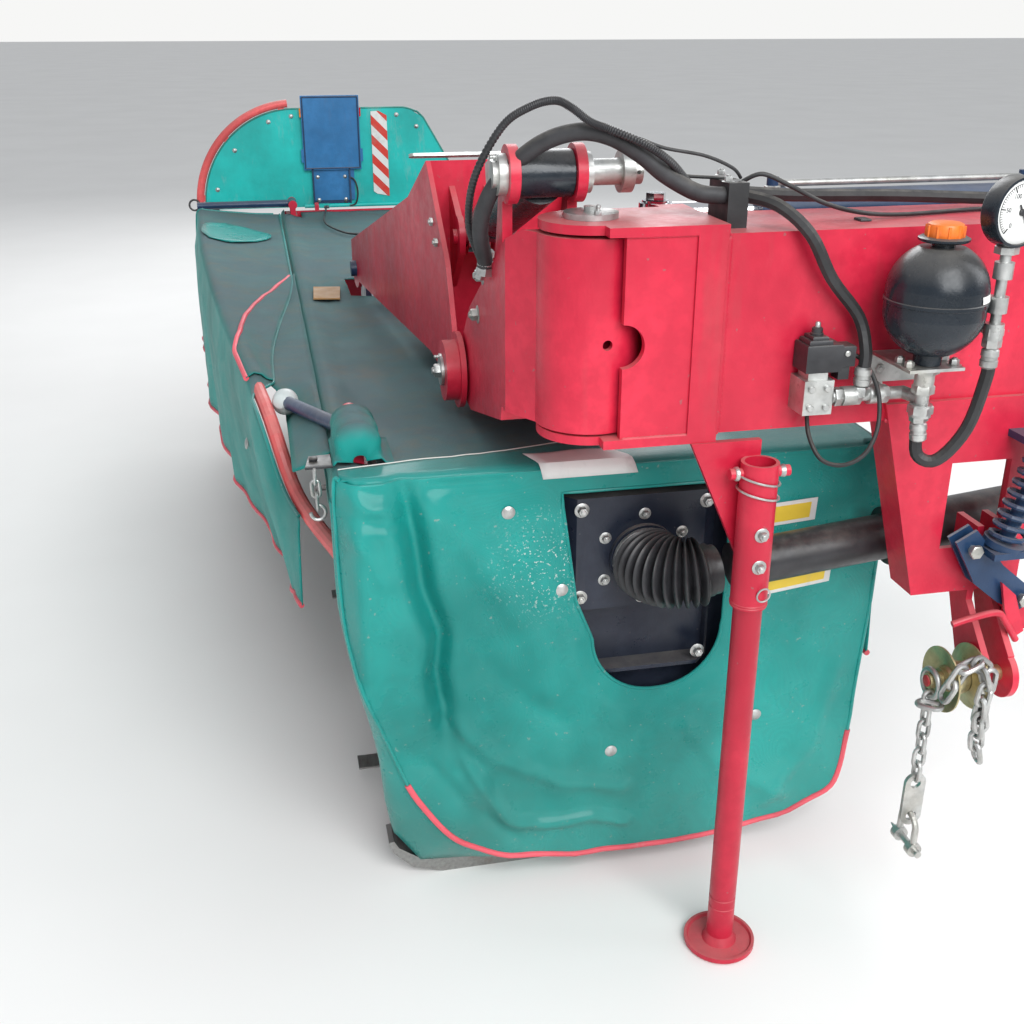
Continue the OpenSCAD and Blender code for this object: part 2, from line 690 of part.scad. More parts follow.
module arm_side(inset) {
    difference() {
        union() {
            polygon([[-head_r - 10, arm_z0 + inset], [-head_r - 10, arm_z1 - inset], [25, arm_z1 - inset],
                [385, 1105 - inset], [lift_y + 20, lift_z + arm_tail_r - 8 - inset],
                [lift_y + 20, lift_z - arm_tail_r + 8 + inset], [385, 905 + inset], [tongue_r + 16, beam_z - 22 + inset],
                [tongue_r + 8, arm_z0 + inset]]);
            if (inset == 0) translate([lift_y, lift_z]) circle(r = arm_tail_r);
        }
        if (inset > 0) translate([lift_y - arm_tail_r - 12, 0]) square([arm_reach, beyond]);
    }
}

module arm_plan(inset) {
    w = arm_w / 2 - inset;
    r = head_r - inset;
    circle(r = r);
    polygon([[-r, -2], [-w, 58], [-w, lift_y + 100], [w, lift_y + 100], [w, 58], [r, -2]]);
}

module swing_arm() {
    color("crimson") place() {
        difference() {
            intersection() {
                side_profile(-arm_w, arm_w) arm_side(0);
                linear_extrude(beyond) arm_plan(0);
            }
            difference() {
                intersection() {
                    side_profile(-arm_w, arm_w) arm_side(arm_wall);
                    linear_extrude(beyond) arm_plan(arm_wall);
                }
                bar_z(0, beyond, 0, 0, fold_pin_d + 40);
            }
            bar_z(0, 2000, 0, 0, fold_pin_d + 2 * pin_play);
            bar_x(-arm_w, arm_w, lift_y, lift_z, lift_pin_d + 2 * pin_play);
            bar_y(-half_depth, -60, 8, notch_z, 16);
        }
        // Thrust rings of the head
        difference() {
            bar_z(beam_z + seat_gap, beam_top - seat_gap, 0, 0, fold_pin_d + 40);
            bar_z(0, 2000, 0, 0, fold_pin_d + 2 * pin_play);
        }
        // Lugs of the lift cylinder's cross pin
        for (x = lift_lugs) difference() {
            side_profile(x, x + lift_lug_t) {
                translate(lift_head) circle(r = 44);
                polygon([[tongue_r + 8, 1262], [tongue_r + 8, fork_z1 + 14], [lift_head[0] - 31, lift_head[1] - 31],
                    lift_head - [31, 0], lift_head + [44, 0], [150, 1234]]);
            }
            bar_x(x - 1, x + lift_lug_t + 1, lift_head[0], lift_head[1], 40 + 2 * pin_play);
        }
        // Lug on which the fold cylinder's eye turns, on its post
        z = fold_cyl_z - 20 - seat_gap;
        bar_z(z - 16, z, fold_eye[0], fold_eye[1], 56);
        block([arm_w / 2 - 30, fold_eye[1] - 28, z - 16], [fold_eye[0], fold_eye[1] + 28, z]);
        block([arm_w / 2 - 12, fold_eye[1] - 28, 1190], [arm_w / 2, fold_eye[1] + 28, z - 15]);
    }
}

module lift_head_pin() {
    y = lift_head[0];
    z = lift_head[1];
    x0 = lift_lugs[0];
    color("silver") place() {
        difference() {
            bar_x(x0 - 22, 96, y, z, 40);
            bar_y(y - 30, y + 30, 88, z, 6);
        }
        bar_x(x0 - 14, x0 - seat_gap, y, z, 62);
        bar_x(lift_lugs[1] + lift_lug_t + seat_gap, lift_lugs[1] + lift_lug_t + 12, y, z, 62);
        bar_x(62, 80, y, z, 64);
    }
}

// Hoses that the arm carries past the lift cylinder, and their corrugated sleeve
arm_hose_runs = [
    [[-arm_w / 2 - 10.3, 175, 1218], [-arm_w / 2 - 11, 172, 1234], [-150, 140, 1300], [-162, 75, 1390],
        [-122, 10, 1466], [-40, -20, 1502], [60, -34, 1480], [130, -20, 1412], [150, 20, 1372]],
    [[-arm_w / 2 - 10.3, 202, 1206], [-arm_w / 2 - 11, 200, 1222], [-160, 168, 1306], [-186, 75, 1402],
        [-152, 0, 1492], [-60, -34, 1530], [40, -60, 1505], [125, -40, 1440], [158, 4, 1392]]
];

module arm_hoses() {
    color("black") place() {
        for (run = arm_hose_runs) swept_tube(smooth_path(run, 5), hose_d);
    }
}

// Lift cylinder between the arm's lugs and the carrier's lugs
lift_barrel_len = 400;
lift_dir = (lift_eye - lift_head) / norm(lift_eye - lift_head);
lift_len = norm(lift_eye - lift_head);

module along_lift() {
    translate([lift_cyl_x, lift_head[0], lift_head[1]])
        rotate([-90 + atan2(lift_dir[1], lift_dir[0]), 0, 0]) children();
}

module lift_barrel() {
    w = lift_barrel_d;
    color("black") place() along_lift() {
        difference() {
            union() {
                translate([0, 0, 26]) cylinder(h = lift_barrel_len - 26, d = w);
                translate([0, 0, lift_barrel_len - 30]) cylinder(h = 38, d = w + 3);
                translate([-w / 2, 0, 0]) rotate([0, 90, 0]) cylinder(h = w, d = 72);
            }
            translate([-w, 0, 0]) rotate([0, 90, 0]) cylinder(h = 2 * w, d = 40 + 2 * pin_play);
            translate([0, 0, 60]) cylinder(h = lift_barrel_len, d = 45 + 2 * pin_play);
        }
    }
}

lift_eye_play = 6;

module lift_rod() {
    color("lightgray") place() along_lift() {
        difference() {
            union() {
                translate([0, 0, 230]) cylinder(h = lift_len - 255, d = 45);
                translate([-22, 0, lift_len]) rotate([0, 90, 0]) cylinder(h = 44, d = 70);
            }
            translate([-40, 0, lift_len]) rotate([0, 90, 0]) cylinder(h = 80, d = 30 + 2 * lift_eye_play);
        }
    }
}

// Open-topped carrier of plates that widens towards the float axis
ear_r = 74;
carrier_w_near = arm_w + 2 * run_gap;
web_y = lift_y + 260;
carrier_y1 = float_y + 60;
ear_t = 26;

module carrier_side_outline() {
    polygon([[lift_y + 30, lift_z + 60], [lift_y + 100, lift_z + 180], [web_y, carrier_top],
        [web_y + 191, carrier_top - 97], [carrier_y1, float_z + 72], [carrier_y1, float_z - 34],
        [web_y, lift_z - 30], [lift_y + 30, lift_z - 60]]);
    translate([lift_y, lift_z]) circle(r = ear_r);
    translate([float_y, float_z]) circle(r = 55);
}

module carrier_plan(grow) {
    w0 = carrier_w_near / 2 + grow;
    w1 = carrier_w_far / 2 + grow;
    polygon([[-w0, 0], [-w0, web_y - 150], [-w1, carrier_y1], [-w1, carrier_y1 + 100],
        [w1, carrier_y1 + 100], [w1, carrier_y1], [w0, web_y - 150], [w0, 0]]);
}

module carrier_frame() {
    w0 = carrier_w_near / 2 + carrier_wall;
    color("crimson") place() difference() {
        union() {
            intersection() {
                side_profile(-600, 600) carrier_side_outline();
                linear_extrude(2000) difference() {
                    carrier_plan(carrier_wall);
                    carrier_plan(0);
                }
            }
            // Cross web, floor and far web
            intersection() {
                union() {
                    block([-600, web_y, lift_z - 20], [600, web_y + carrier_wall, carrier_top]);
                    block([-600, web_y, lift_z - 28], [600, web_y + 330, lift_z - 18]);
                    block([-600, float_y - 170, float_z - 30], [600, float_y - 160, float_z + 80]);
                }
                linear_extrude(2000) carrier_plan(1);
                side_profile(-600, 600) carrier_side_outline();
            }
            // Ears' bosses
            for (side = [-1, 1]) {
                x = side * w0;
                bar_x(min(x, x + side * ear_t), max(x, x + side * ear_t), lift_y, lift_z, 118);
            }
            // Lugs that take the lift cylinder's eye
            for (x = [lift_cyl_x - 42, lift_cyl_x + 30]) side_profile(x, x + 12) {
                translate(lift_eye) circle(r = 42);
                polygon([[lift_eye[0], lift_eye[1] + 42], [web_y + 1, lift_eye[1] + 90],
                    [web_y + 1, lift_eye[1] - 120], [lift_eye[0] - 20, lift_eye[1] - 37]]);
            }
            bar_x(lift_cyl_x - 50, lift_cyl_x + 50, lift_eye[0], lift_eye[1], 30);
            // Gussets inside the cross web
            for (x = [-arm_w / 2 + 24, arm_w / 2 - 40]) side_profile(x, x + 10)
                polygon([[web_y + carrier_wall - 1, lift_z - 20], [web_y + carrier_wall - 1, carrier_top - 60],
                    [web_y + 260, lift_z + 60], [web_y + 300, lift_z - 20]]);
        }
        bar_x(-600, 600, lift_y, lift_z, lift_pin_d + 2 * pin_play);
        bar_x(-600, 600, float_y, float_z, 45 + 2 * pin_play);
    }
}

module lift_pin() {
    reach = carrier_w_near / 2 + carrier_wall + ear_t;
    color("silver") place() {
        bar_x(-reach - 4, reach + 8, lift_y, lift_z, lift_pin_d);
        bar_x(reach + seat_gap, reach + 8, lift_y, lift_z, lift_pin_d + 22);
        bar_x(-reach - 6, -reach - seat_gap, lift_y, lift_z, lift_pin_d + 8);
    }
}

// Ball valve with its long lever, on top of the lift barrel's rod end
module shut_off_valve() {
    y = -lift_barrel_d / 2 - 30;
    color("silver") place() along_lift() translate([0, y, lift_barrel_len - 64]) {
        translate([-21, -20, -26]) cube([42, 40, 52]);
        translate([0, 0, -44]) cylinder(h = 90, d = 30);
        translate([0, 29, 0]) rotate([90, 0, 0]) cylinder(h = 10, d = 26);
        translate([0, -19, 0]) rotate([90, 0, 0]) cylinder(h = 16, d = 15);
        translate([-152, -34, -10]) cube([164, 5, 20]);
        translate([-152, -29, 0]) rotate([90, 0, 0]) cylinder(h = 5, d = 20);
    }
}

// Mowing unit: gear bar with its hubs and stone guards, skids below it, side plates and main tube
cut_x = -130;
bar_z0 = 36;
bar_top = 84;
disc_z = 98;
rotor_x = 330;
rotor_z = 330;
frame_top = hood_z - canvas_t - seat_gap;
inner_y = unit_y0 + side_plate;
outer_y = unit_y1 - side_plate;
function disc_y(i) = unit_mid + (i - (disc_count - 1) / 2) * disc_pitch;

module cutter_bar() {
    color("dimgray") place() {
        front_profile(inner_y, outer_y)
            polygon([[cut_x - 150, 50], [cut_x - 128, bar_top], [cut_x + 120, bar_top],
                [cut_x + 150, 66], [cut_x + 150, bar_z0], [cut_x - 128, bar_z0]]);
        for (i = [0:disc_count - 1]) {
            bar_z(bar_top - 1, disc_z - seat_gap, cut_x, disc_y(i), 110);
            translate([cut_x - 60, disc_y(i), 48]) cylinder(h = 22, r = 130);
        }
    }
}

module skids() {
    color("dimgray") place() {
        for (i = [0:disc_count - 1]) front_profile(disc_y(i) - 60, disc_y(i) + 60)
            polygon([[cut_x - 186, 47], [cut_x - 180, 36], [cut_x - 140, 12], [cut_x - 90, 0], [cut_x + 240, 0],
                [cut_x + 268, 12], [cut_x + 264, 18], [cut_x + 236, 8], [cut_x + 150, 10],
                [cut_x + 110, bar_z0], [cut_x - 130, bar_z0], [cut_x - 150, 47]]);
        // Long shoes below the side plates
        for (y = [unit_y0, unit_y1 - 60]) front_profile(y, y + 60)
            polygon([[-336, 86], [-328, 60], [-290, 20], [-230, 0], [300, 0], [340, 24], [336, 34],
                [296, 12], [200, 12], [190, bar_z0], [-270, bar_z0], [-316, 70], [-326, 88]]);
    }
}

module side_outline() {
    polygon([[-hood_front + 6, hood_z - 26], [-hood_front + 18, frame_top], [hood_rear - 30, frame_top],
        [hood_rear - 7, hood_z - 34], [590, 640], [540, 180], [380, 60], [190, bar_z0], [-262, bar_z0],
        [-318, 140], [-335, frame_top - 70], [-hood_front + 6, frame_top - 40]]);
}

module unit_frame() {
    color("crimson") place() {
        for (y = [unit_y0, outer_y]) difference() {
            front_profile(y, y + side_plate) side_outline();
            bar_y(y - 1, y + side_plate + 1, rotor_x, rotor_z, 50 + 2 * pin_play);
            if (y == unit_y0) block([-10, y - 1, 440], [300, y + side_plate + 1, 820]);
        }
        // Main tube and two canvas rails
        difference() {
            block([-60, inner_y, frame_top - 160], [60, outer_y, frame_top - 40]);
            block([-54, inner_y - 1, frame_top - 154], [54, outer_y + 1, frame_top - 46]);
        }
        for (x = [-hood_front + 22, hood_rear - 50]) block([x, inner_y, frame_top - 30], [x + 16, outer_y, frame_top]);
        block([-60, inner_y, 130], [-40, inner_y + 8, frame_top - 160]);
        // Posts and pins of the front guard's hinge
        for (s = struts) {
            y0 = s[1][1] + s[2][0];
            y1 = s[1][1] + s[2][1];
            for (y = [y0, y1]) {
                block([front_hinge_x - 10, y - 6, frame_top - 1], [front_hinge_x + 10, y + 6, front_hinge_z]);
                bar_y(y - 6, y + 6, front_hinge_x, front_hinge_z, 34);
            }
            bar_y(y0 - 6, y1 + 6, front_hinge_x, front_hinge_z, 20);
            block([front_hinge_x - 26, y0 - 8, frame_top - 12], [front_hinge_x + 16, y1 + 8, frame_top]);
        }
        // Ears of the outer guard's hinge
        for (x = [-260, 160]) difference() {
            union() {
                side_profile(x, x + 16) polygon([[unit_y1 - 1, hinge_z - 88], [unit_y1 - 1, hinge_z - 23],
                    [unit_y1 + 2, hinge_z - 20], [unit_y1 + 2, hinge_z + 6], [hinge_y, hinge_z + 14],
                    [hinge_y, hinge_z - 14], [unit_y1 + 6, hinge_z - 16], [unit_y1 + 6, hinge_z - 88]]);
                bar_x(x, x + 16, hinge_y, hinge_z, 28);
            }
            bar_x(x - 1, x + 17, hinge_y, hinge_z, 16 + 2 * pin_play);
        }
    }
}

// Float bracket: a navy saddle on the main tube that holds the float pin between the carrier's walls
module float_bracket() {
    half = carrier_w_far / 2 - 14;
    color("midnightblue") place() {
        difference() {
            union() {
                for (x = [-half, half - 16]) {
                    side_profile(x, x + 16) {
                        translate([float_y, float_z]) circle(r = 48);
                        polygon([[float_y - 48, float_z], [float_y - 90, frame_top - 40],
                            [float_y + 90, frame_top - 40], [float_y + 48, float_z]]);
                    }
                }
                block([-half, float_y - 90, frame_top - 40], [half, float_y + 90, frame_top - 28]);
                block([-half, float_y - 90, frame_top - 100], [-61, float_y + 90, frame_top - 39]);
            }
            bar_x(-600, 600, float_y, float_z, 45 + 2 * pin_play);
        }
        bar_x(-half - 24 - carrier_wall, half + 24 + carrier_wall, float_y, float_z, 45);
    }
}

module conditioner_hood() {
    r0 = rotor_d / 2 + 16;
    color("gray") place() front_profile(inner_y, outer_y) {
        difference() {
            translate([rotor_x, rotor_z]) difference() {
                circle(r = r0 + 5);
                circle(r = r0);
            }
            translate([rotor_x - 400, rotor_z - 400]) square([800, 400]);
            translate([rotor_x - 400, rotor_z - 10]) square([230, 100]);
        }
        translate([rotor_x + r0, rotor_z - 40]) square([5, 41]);
        translate([rotor_x - 4, rotor_z + r0 + 4]) square([8, frame_top - 30 - rotor_z - r0 - 4]);
    }
}

module conditioner_rotor() {
    rows = 4;
    along = 13;
    y0 = inner_y + 60;
    y1 = outer_y - 60;
    pitch = (y1 - y0 - 80) / (along - 1);
    color("darkgray") place() {
        difference() {
            bar_y(y0, y1, rotor_x, rotor_z, 150);
            bar_y(y0 + 10, y1 - 10, rotor_x, rotor_z, 138);
        }
        bar_y(unit_y0 - 4, y0 + 11, rotor_x, rotor_z, 50);
        bar_y(y1 - 11, unit_y1 + 4, rotor_x, rotor_z, 50);
        for (i = [0:along - 1]) for (k = [0:rows - 1])
            translate([rotor_x, y0 + 40 + i * pitch, rotor_z]) rotate([0, k * 90 + i * 35, 0])
                for (lean = [-1, 1]) rotate([lean * 9, 0, 0]) translate([-6, lean * 14 - 5, 60])
                    cube([12, 10, rotor_d / 2 - 64]);
    }
}

// Canvas: the top sheet with the rear apron, and the inner end with its cut-out
module hood_canvas() {
    color("teal") place() difference() {
        front_profile(unit_y0 - 46, unit_y1) polygon(concat(
            [[-hood_front, hood_z - 90], [-hood_front, hood_z - 16], [-hood_front + 14, hood_z],
                [hood_rear - 24, hood_z], [hood_rear, hood_z - 26], [hood_rear - 6, 430]],
            [[hood_rear - 6 - canvas_t, 430], [hood_rear - canvas_t, hood_z - 28],
                [hood_rear - 26, hood_z - canvas_t], [-hood_front + 16, hood_z - canvas_t],
                [-hood_front + canvas_t, hood_z - 18], [-hood_front + canvas_t, hood_z - 90]]));
        block([-carrier_w_far / 2 - 30, float_y - 120, hood_z - 20], [carrier_w_far / 2 + 30, float_y + 120, hood_z + 5]);
        for (s = struts) block([front_hinge_x - 28, s[1][1] + s[2][0] - 10, hood_z - 20],
            [front_hinge_x + 20, s[1][1] + s[2][1] + 10, hood_z + 5]);
    }
}

module inner_canvas() {
    y1 = unit_y0 - 46 - seat_gap;
    color("teal") place() difference() {
        front_profile(y1 - canvas_t, y1)
            polygon([[-hood_front + 10, hood_z - 2], [-hood_front, hood_z - 20], [-hood_front + 4, 640],
                [-330, 330], [-250, 140], [-160, 82], [0, 58], [300, 56], [540, 74], [hood_rear - 30, 130],
                [hood_rear - 6, 420], [hood_rear, hood_z - 26], [hood_rear - 24, hood_z - 2]]);
        block([-10, y1 - 20, 540], [310, y1 + 20, 832]);
        bar_y(y1 - 20, y1 + 20, 120, 540, 260);
        bar_y(y1 - 20, y1 + 20, 180, 540, 260);
    }
}

module gearbox_guard() {
    y0 = unit_y0 - 44;
    y1 = unit_y0 + 6;
    color("midnightblue") place() {
        difference() {
            block([-8, y0, 450], [298, y1, 812]);
            block([0, y0 - 1, 458], [290, y1 - 8, 590]);
            for (x = [-8, 298]) translate([x, y0, 600]) rotate([0, 0, 45]) cube([44, 44, 1000], center = true);
        }
        bar_y(y0 - 10, y0 + 1, shaft_a[0], shaft_a[2], 130);
        // Gearbox and the upright drive of the first disc's drum
        block([20, y1 - 1, 590], [250, unit_y0 + 31, 690]);
        block([-250, unit_y0 + 30, 580], [298, unit_y0 + 59, 700]);
        block([-250, unit_y0 + 30, 380], [-20, unit_y0 + 330, 600]);
        bar_z(345, 381, cut_x, disc_y(0), 150);
    }
}

// Drive shaft: a pleated bellows at the unit, and two telescoping guard tubes to the headstock
bend_r = 75;
pleats = 8;

module drive_bellows() {
    y0 = unit_y0 - 54 - seat_gap;
    centre = [shaft_a[0] + bend_r, shaft_a[1] + bend_r, shaft_a[2]];
    color("black") place() {
        bar_y(shaft_a[1] + bend_r, y0, shaft_a[0], shaft_a[2], 118);
        for (k = [0:pleats - 1]) {
            turn = (k + 0.5) * 90 / pleats;
            translate(centre) rotate([0, 0, 180 + turn]) translate([bend_r, 0, 0]) rotate([90, 0, 0])
                translate([0, 0, -7]) cylinder(h = 14, d1 = 134 - k * 5, d2 = 128 - k * 5);
        }
        along_shaft() translate([0, 0, bend_r - 8]) cylinder(h = 18.7, d = guard_inner_d + 12);
    }
}

module drive_yoke() {
    color("black") place() {
        along_shaft() translate([0, 0, bend_r + 11]) cylinder(h = 16, d = guard_inner_d + 6);
    }
}

shaft_len = norm(shaft_b - shaft_a);
shaft_dir = (shaft_b - shaft_a) / shaft_len;
tube_start = bend_r + 58;
inner_end = shaft_len - 60;
outer_start = 0.54 * shaft_len;

module along_shaft() {
    translate(shaft_a) rotate([0, 0, atan2(shaft_dir[1], shaft_dir[0])])
        rotate([0, acos(shaft_dir[2]), 0]) children();
}

module shaft_inner() {
    color("black") place() along_shaft() difference() {
        translate([0, 0, tube_start]) cylinder(h = inner_end - tube_start, d = guard_inner_d);
        translate([0, 0, tube_start + 30]) cylinder(h = inner_end, d = guard_inner_d - 12);
    }
}

module shaft_outer() {
    color("black") place() along_shaft() difference() {
        union() {
            translate([0, 0, outer_start]) cylinder(h = shaft_len - outer_start - 24, d = guard_outer_d);
            translate([0, 0, outer_start - 6]) cylinder(h = 26, d = guard_outer_d + 8);
            translate([0, 0, shaft_len - 90]) cylinder(h = 66, d1 = guard_outer_d, d2 = 140);
        }
        translate([0, 0, outer_start + 14]) cylinder(h = inner_end - outer_start, d = guard_outer_d - 8);
        translate([0, 0, outer_start - 20]) cylinder(h = 60, d = guard_inner_d + 2 * 0.1);
        translate([0, 0, shaft_len - 70]) cylinder(h = 80, d1 = guard_outer_d - 10, d2 = 132);
    }
}

// Cutting discs: a low dome with two flats and two knives; the end discs carry crop drums
module cutting_disc(i) {
    drum = i == 0 || i == disc_count - 1;
    drum_top = i == 0 ? 340 : 300;
    color("slategray") place() translate([cut_x, disc_y(i), disc_z]) rotate([0, 0, i % 2 == 0 ? 0 : 90]) {
        intersection() {
            rotate_extrude() polygon([[0, 0], [disc_d / 2, 0], [disc_d / 2, 5], [disc_d / 2 - 40, 16],
                [70, 32], [0, 34]]);
            translate([-disc_d / 2, -disc_d * 0.36, 0]) cube([disc_d, disc_d * 0.72, 60]);
        }
        for (side = [0, 180]) rotate([0, 0, side]) {
            translate([disc_d / 2 - 30, -24, -5]) cube([knife_circle / 2 - disc_d / 2 + 30 - 3, 48, 4]);
            translate([disc_d / 2 - 24, 0, -5]) cylinder(h = 18, d = 22);
        }
        if (drum) translate([0, 0, 20]) rotate_extrude()
            polygon([[0, 0], [105, 0], [92, 60], [100, drum_top - disc_z - 20], [0, drum_top - disc_z - 20],
                [0, drum_top - disc_z - 28], [93, drum_top - disc_z - 28], [86, 60], [97, 6], [0, 6]]);
    }
}

module disc_1() { cutting_disc(0); }
module disc_2() { cutting_disc(1); }
module disc_3() { cutting_disc(2); }
module disc_4() { cutting_disc(3); }
module disc_5() { cutting_disc(4); }
module disc_6() { cutting_disc(5); }
module disc_7() { cutting_disc(6); }

// Front guard: bent tube, strut and the curtain that hangs from it
front_hinge_x = -hood_front + 48;
front_hinge_z = hood_z + 34;
guard_route = [
    [guard_x + 20, unit_y1 - 40, 884], [guard_x + 22, unit_y1 - 95, 884], [guard_x + 66, 2200, 884],
    [guard_x + 140, 1300, 882], [-508, 640, 862], [-458, 470, 722], [-392, 215, 700]
];
route_steps = 6;
guard_path = smooth_path(guard_route, route_steps);

module front_guard_tube() {
    color("lightcoral") place() swept_tube(guard_path, guard_tube_d, 12);
}

// Struts: tube end, hinge end and the offsets of the two posts that hold the hinge pin
strut_d = 28;
struts = [
    [[-508 + 42.4, 636, 866], [front_hinge_x, 270, front_hinge_z], [-52, 120]],
    [[guard_x + 4, unit_y1 - 64, 884 + guard_tube_d / 2 + strut_d / 2 + seat_gap],
        [front_hinge_x, unit_y1 - 64, front_hinge_z], [-52, 52]]
];

module front_strut() {
    color("midnightblue") place() {
        for (s = struts) {
            difference() {
                union() {
                    rod_between(s[0], s[1], strut_d);
                    bar_y(s[1][1] - 40, s[1][1] + 40, front_hinge_x, front_hinge_z, 34);
                }
                bar_y(s[1][1] - 90, s[1][1] + 90, front_hinge_x, front_hinge_z, 20 + 2 * pin_play);
            }
        }
        translate(struts[0][0]) sphere(d = 54);
    }
}

// A sheet between two lines of points, with its thickness along one direction
module sheet_between(top, bottom, thick) {
    n = len(top);
    points = concat(top, bottom, [for (p = top) p + thick], [for (p = bottom) p + thick]);
    faces = concat(
        [for (i = [0:n - 2]) [i, i + 1, n + i + 1, n + i]],
        [for (i = [0:n - 2]) [2 * n + i, 3 * n + i, 3 * n + i + 1, 2 * n + i + 1]],
        [for (i = [0:n - 2]) [i, 2 * n + i, 2 * n + i + 1, i + 1]],
        [for (i = [0:n - 2]) [n + i, n + i + 1, 3 * n + i + 1, 3 * n + i]],
        [[0, n, 3 * n, 2 * n], [n - 1, 3 * n - 1, 4 * n - 1, 2 * n - 1]]);
    polyhedron(points, faces, convexity = 10);
}

module front_curtain() {
    line = [for (i = [route_steps:4 * route_steps - 1]) guard_path[i]];
    r = guard_tube_d / 2;
    color("teal") place() {
        sheet_between([for (p = line) [-hood_front - 6, p[1], hood_z - 6]],
            [for (p = line) p + [-r - 4, 0, r + 3]], [0, 0, canvas_t]);
        sheet_between([for (p = line) p + [-r - 4, 0, r + 3]], [for (p = line) [p[0] - r - 11, p[1], 430]],
            [-canvas_t, 0, canvas_t]);
    }
}

// Outer guard, folded up: board, hoop, lamp panel and hazard board, all on one hinge bar
hinge_z = hood_z + 8;
board_x0 = -hood_front - guard_reach + 34;
hoop_r = guard_top - hinge_z - guard_tube_d / 2;
hoop_gap = 6;
board_r = hoop_r - guard_tube_d / 2 - hoop_gap;

module board_outline() {
    x0 = board_x0;
    x1 = board_x0 + guard_w;
    low = hinge_z - 6;
    intersection() {
        translate([x0, low]) square([guard_w, board_r + 6]);
        union() {
            translate([x0 + board_r, hinge_z]) circle(r = board_r);
            translate([x0 + board_r, low]) square([guard_w - board_r - 260, board_r + 6]);
            polygon([[x1 - 262, low], [x1 - 262, hinge_z + board_r], [x1 - 240, hinge_z + board_r - 4],
                [x1 - 180, hinge_z + board_r - 40], [x1 - 20, hinge_z + 60], [x1, hinge_z + 10], [x1, low]]);
        }
    }
}

module guard_board() {
    color("mediumseagreen") place() {
        front_profile(board_y, board_y + 6) board_outline();
        for (x = [-240, 180]) block([x, hinge_y - 8, hinge_z - 8], [x + 40, board_y, hinge_z + 8]);
        bar_x(-300, 220, hinge_y, hinge_z, 16);
    }
}

module guard_hoop() {
    start = 94;
    sweep = 84;
    color("lightcoral") place() translate([board_x0 + board_r, board_y + 3, hinge_z]) rotate([90, 0, 0]) {
        rotate_extrude(angle = sweep, start = start) translate([hoop_r, 0]) circle(d = guard_tube_d);
        for (a = [start + 4, start + sweep / 2, start + sweep - 4]) rotate([0, 0, a])
            translate([board_r + seat_gap, -12, -3]) cube([hoop_r - board_r - 4, 24, 6]);
    }
}

module light_board() {
    color("steelblue") place() {
        block([-292, board_y - 24, guard_top - 270], [-62, board_y - 8, guard_top + 14]);
        block([-262, board_y - 10, hinge_z + 20], [-92, board_y - seat_gap, guard_top - 200]);
        for (x = [-300, -62]) block([x, board_y - 22, guard_top - 240], [x + 8, board_y - 10, guard_top - 190]);
    }
}

module hazard_board() {
    color("orangered") place() front_profile(board_y - 4, board_y - seat_gap)
        polygon([[-14, hinge_z + 50], [0, hinge_z + 40], [50, hinge_z + 30], [50, guard_top - 66], [18, guard_top - 48],
            [-14, guard_top - 50]]);
}

main_beam();
fold_pin();
headstock_frame();
lower_link_pins();
drive_gearbox();
input_shaft();
relief_spring();
check_chain();
accumulator();
accumulator_bracket();
pressure_gauge();
valve_block();
hydraulic_fittings();
beam_hoses();
stand_sleeve();
stand_leg();
fold_barrel();
fold_rod();
swing_arm();
lift_head_pin();
arm_hoses();
lift_barrel();
lift_rod();
carrier_frame();
lift_pin();
shut_off_valve();
float_bracket();
cutter_bar();
skids();
unit_frame();
conditioner_hood();
hood_canvas();
inner_canvas();
gearbox_guard();
drive_bellows();
drive_yoke();
front_strut();
front_guard_tube();
front_curtain();
guard_board();
guard_hoop();
light_board();
hazard_board();
disc_1();
disc_2();
disc_3();
disc_4();
disc_5();
disc_6();
disc_7();
conditioner_rotor();
shaft_outer();
shaft_inner();
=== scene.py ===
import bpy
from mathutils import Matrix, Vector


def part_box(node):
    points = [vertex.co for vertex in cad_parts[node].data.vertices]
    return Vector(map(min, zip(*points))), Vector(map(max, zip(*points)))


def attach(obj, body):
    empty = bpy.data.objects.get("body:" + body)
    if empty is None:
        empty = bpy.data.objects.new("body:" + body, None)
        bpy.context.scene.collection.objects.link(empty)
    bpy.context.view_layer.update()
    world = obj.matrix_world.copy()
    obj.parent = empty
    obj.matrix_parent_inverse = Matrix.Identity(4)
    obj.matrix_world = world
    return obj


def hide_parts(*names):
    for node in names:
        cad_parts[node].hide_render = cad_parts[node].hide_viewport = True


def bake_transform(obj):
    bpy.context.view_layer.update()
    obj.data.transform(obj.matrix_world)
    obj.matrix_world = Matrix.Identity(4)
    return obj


bl_info = {
    "name": "Disc mower conditioner",
    "version": (1, 0, 0),
    "blender": (4, 5, 0),
    "location": "3D view > Sidebar > Mower",
    "description": "Dresses the packed mower conditioner with canvas, hoses, fasteners and finishes",
    "category": "Object",
}

import math

import bmesh
import bpy
from mathutils import Matrix, Vector, noise

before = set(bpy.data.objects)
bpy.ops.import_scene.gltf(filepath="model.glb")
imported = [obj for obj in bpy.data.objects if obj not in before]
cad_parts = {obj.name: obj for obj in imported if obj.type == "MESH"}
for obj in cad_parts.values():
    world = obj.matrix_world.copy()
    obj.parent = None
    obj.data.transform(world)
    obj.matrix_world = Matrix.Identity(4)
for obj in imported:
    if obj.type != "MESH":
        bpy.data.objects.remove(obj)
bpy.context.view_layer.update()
PIVOT = sum(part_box("fold_pin"), Vector()) / 2
UP, FRONT, BACK = Vector((0, 0, 1)), Vector((0, -1, 0)), Vector((0, 1, 0))
RIGHT, LEFT = Vector((1, 0, 0)), Vector((-1, 0, 0))

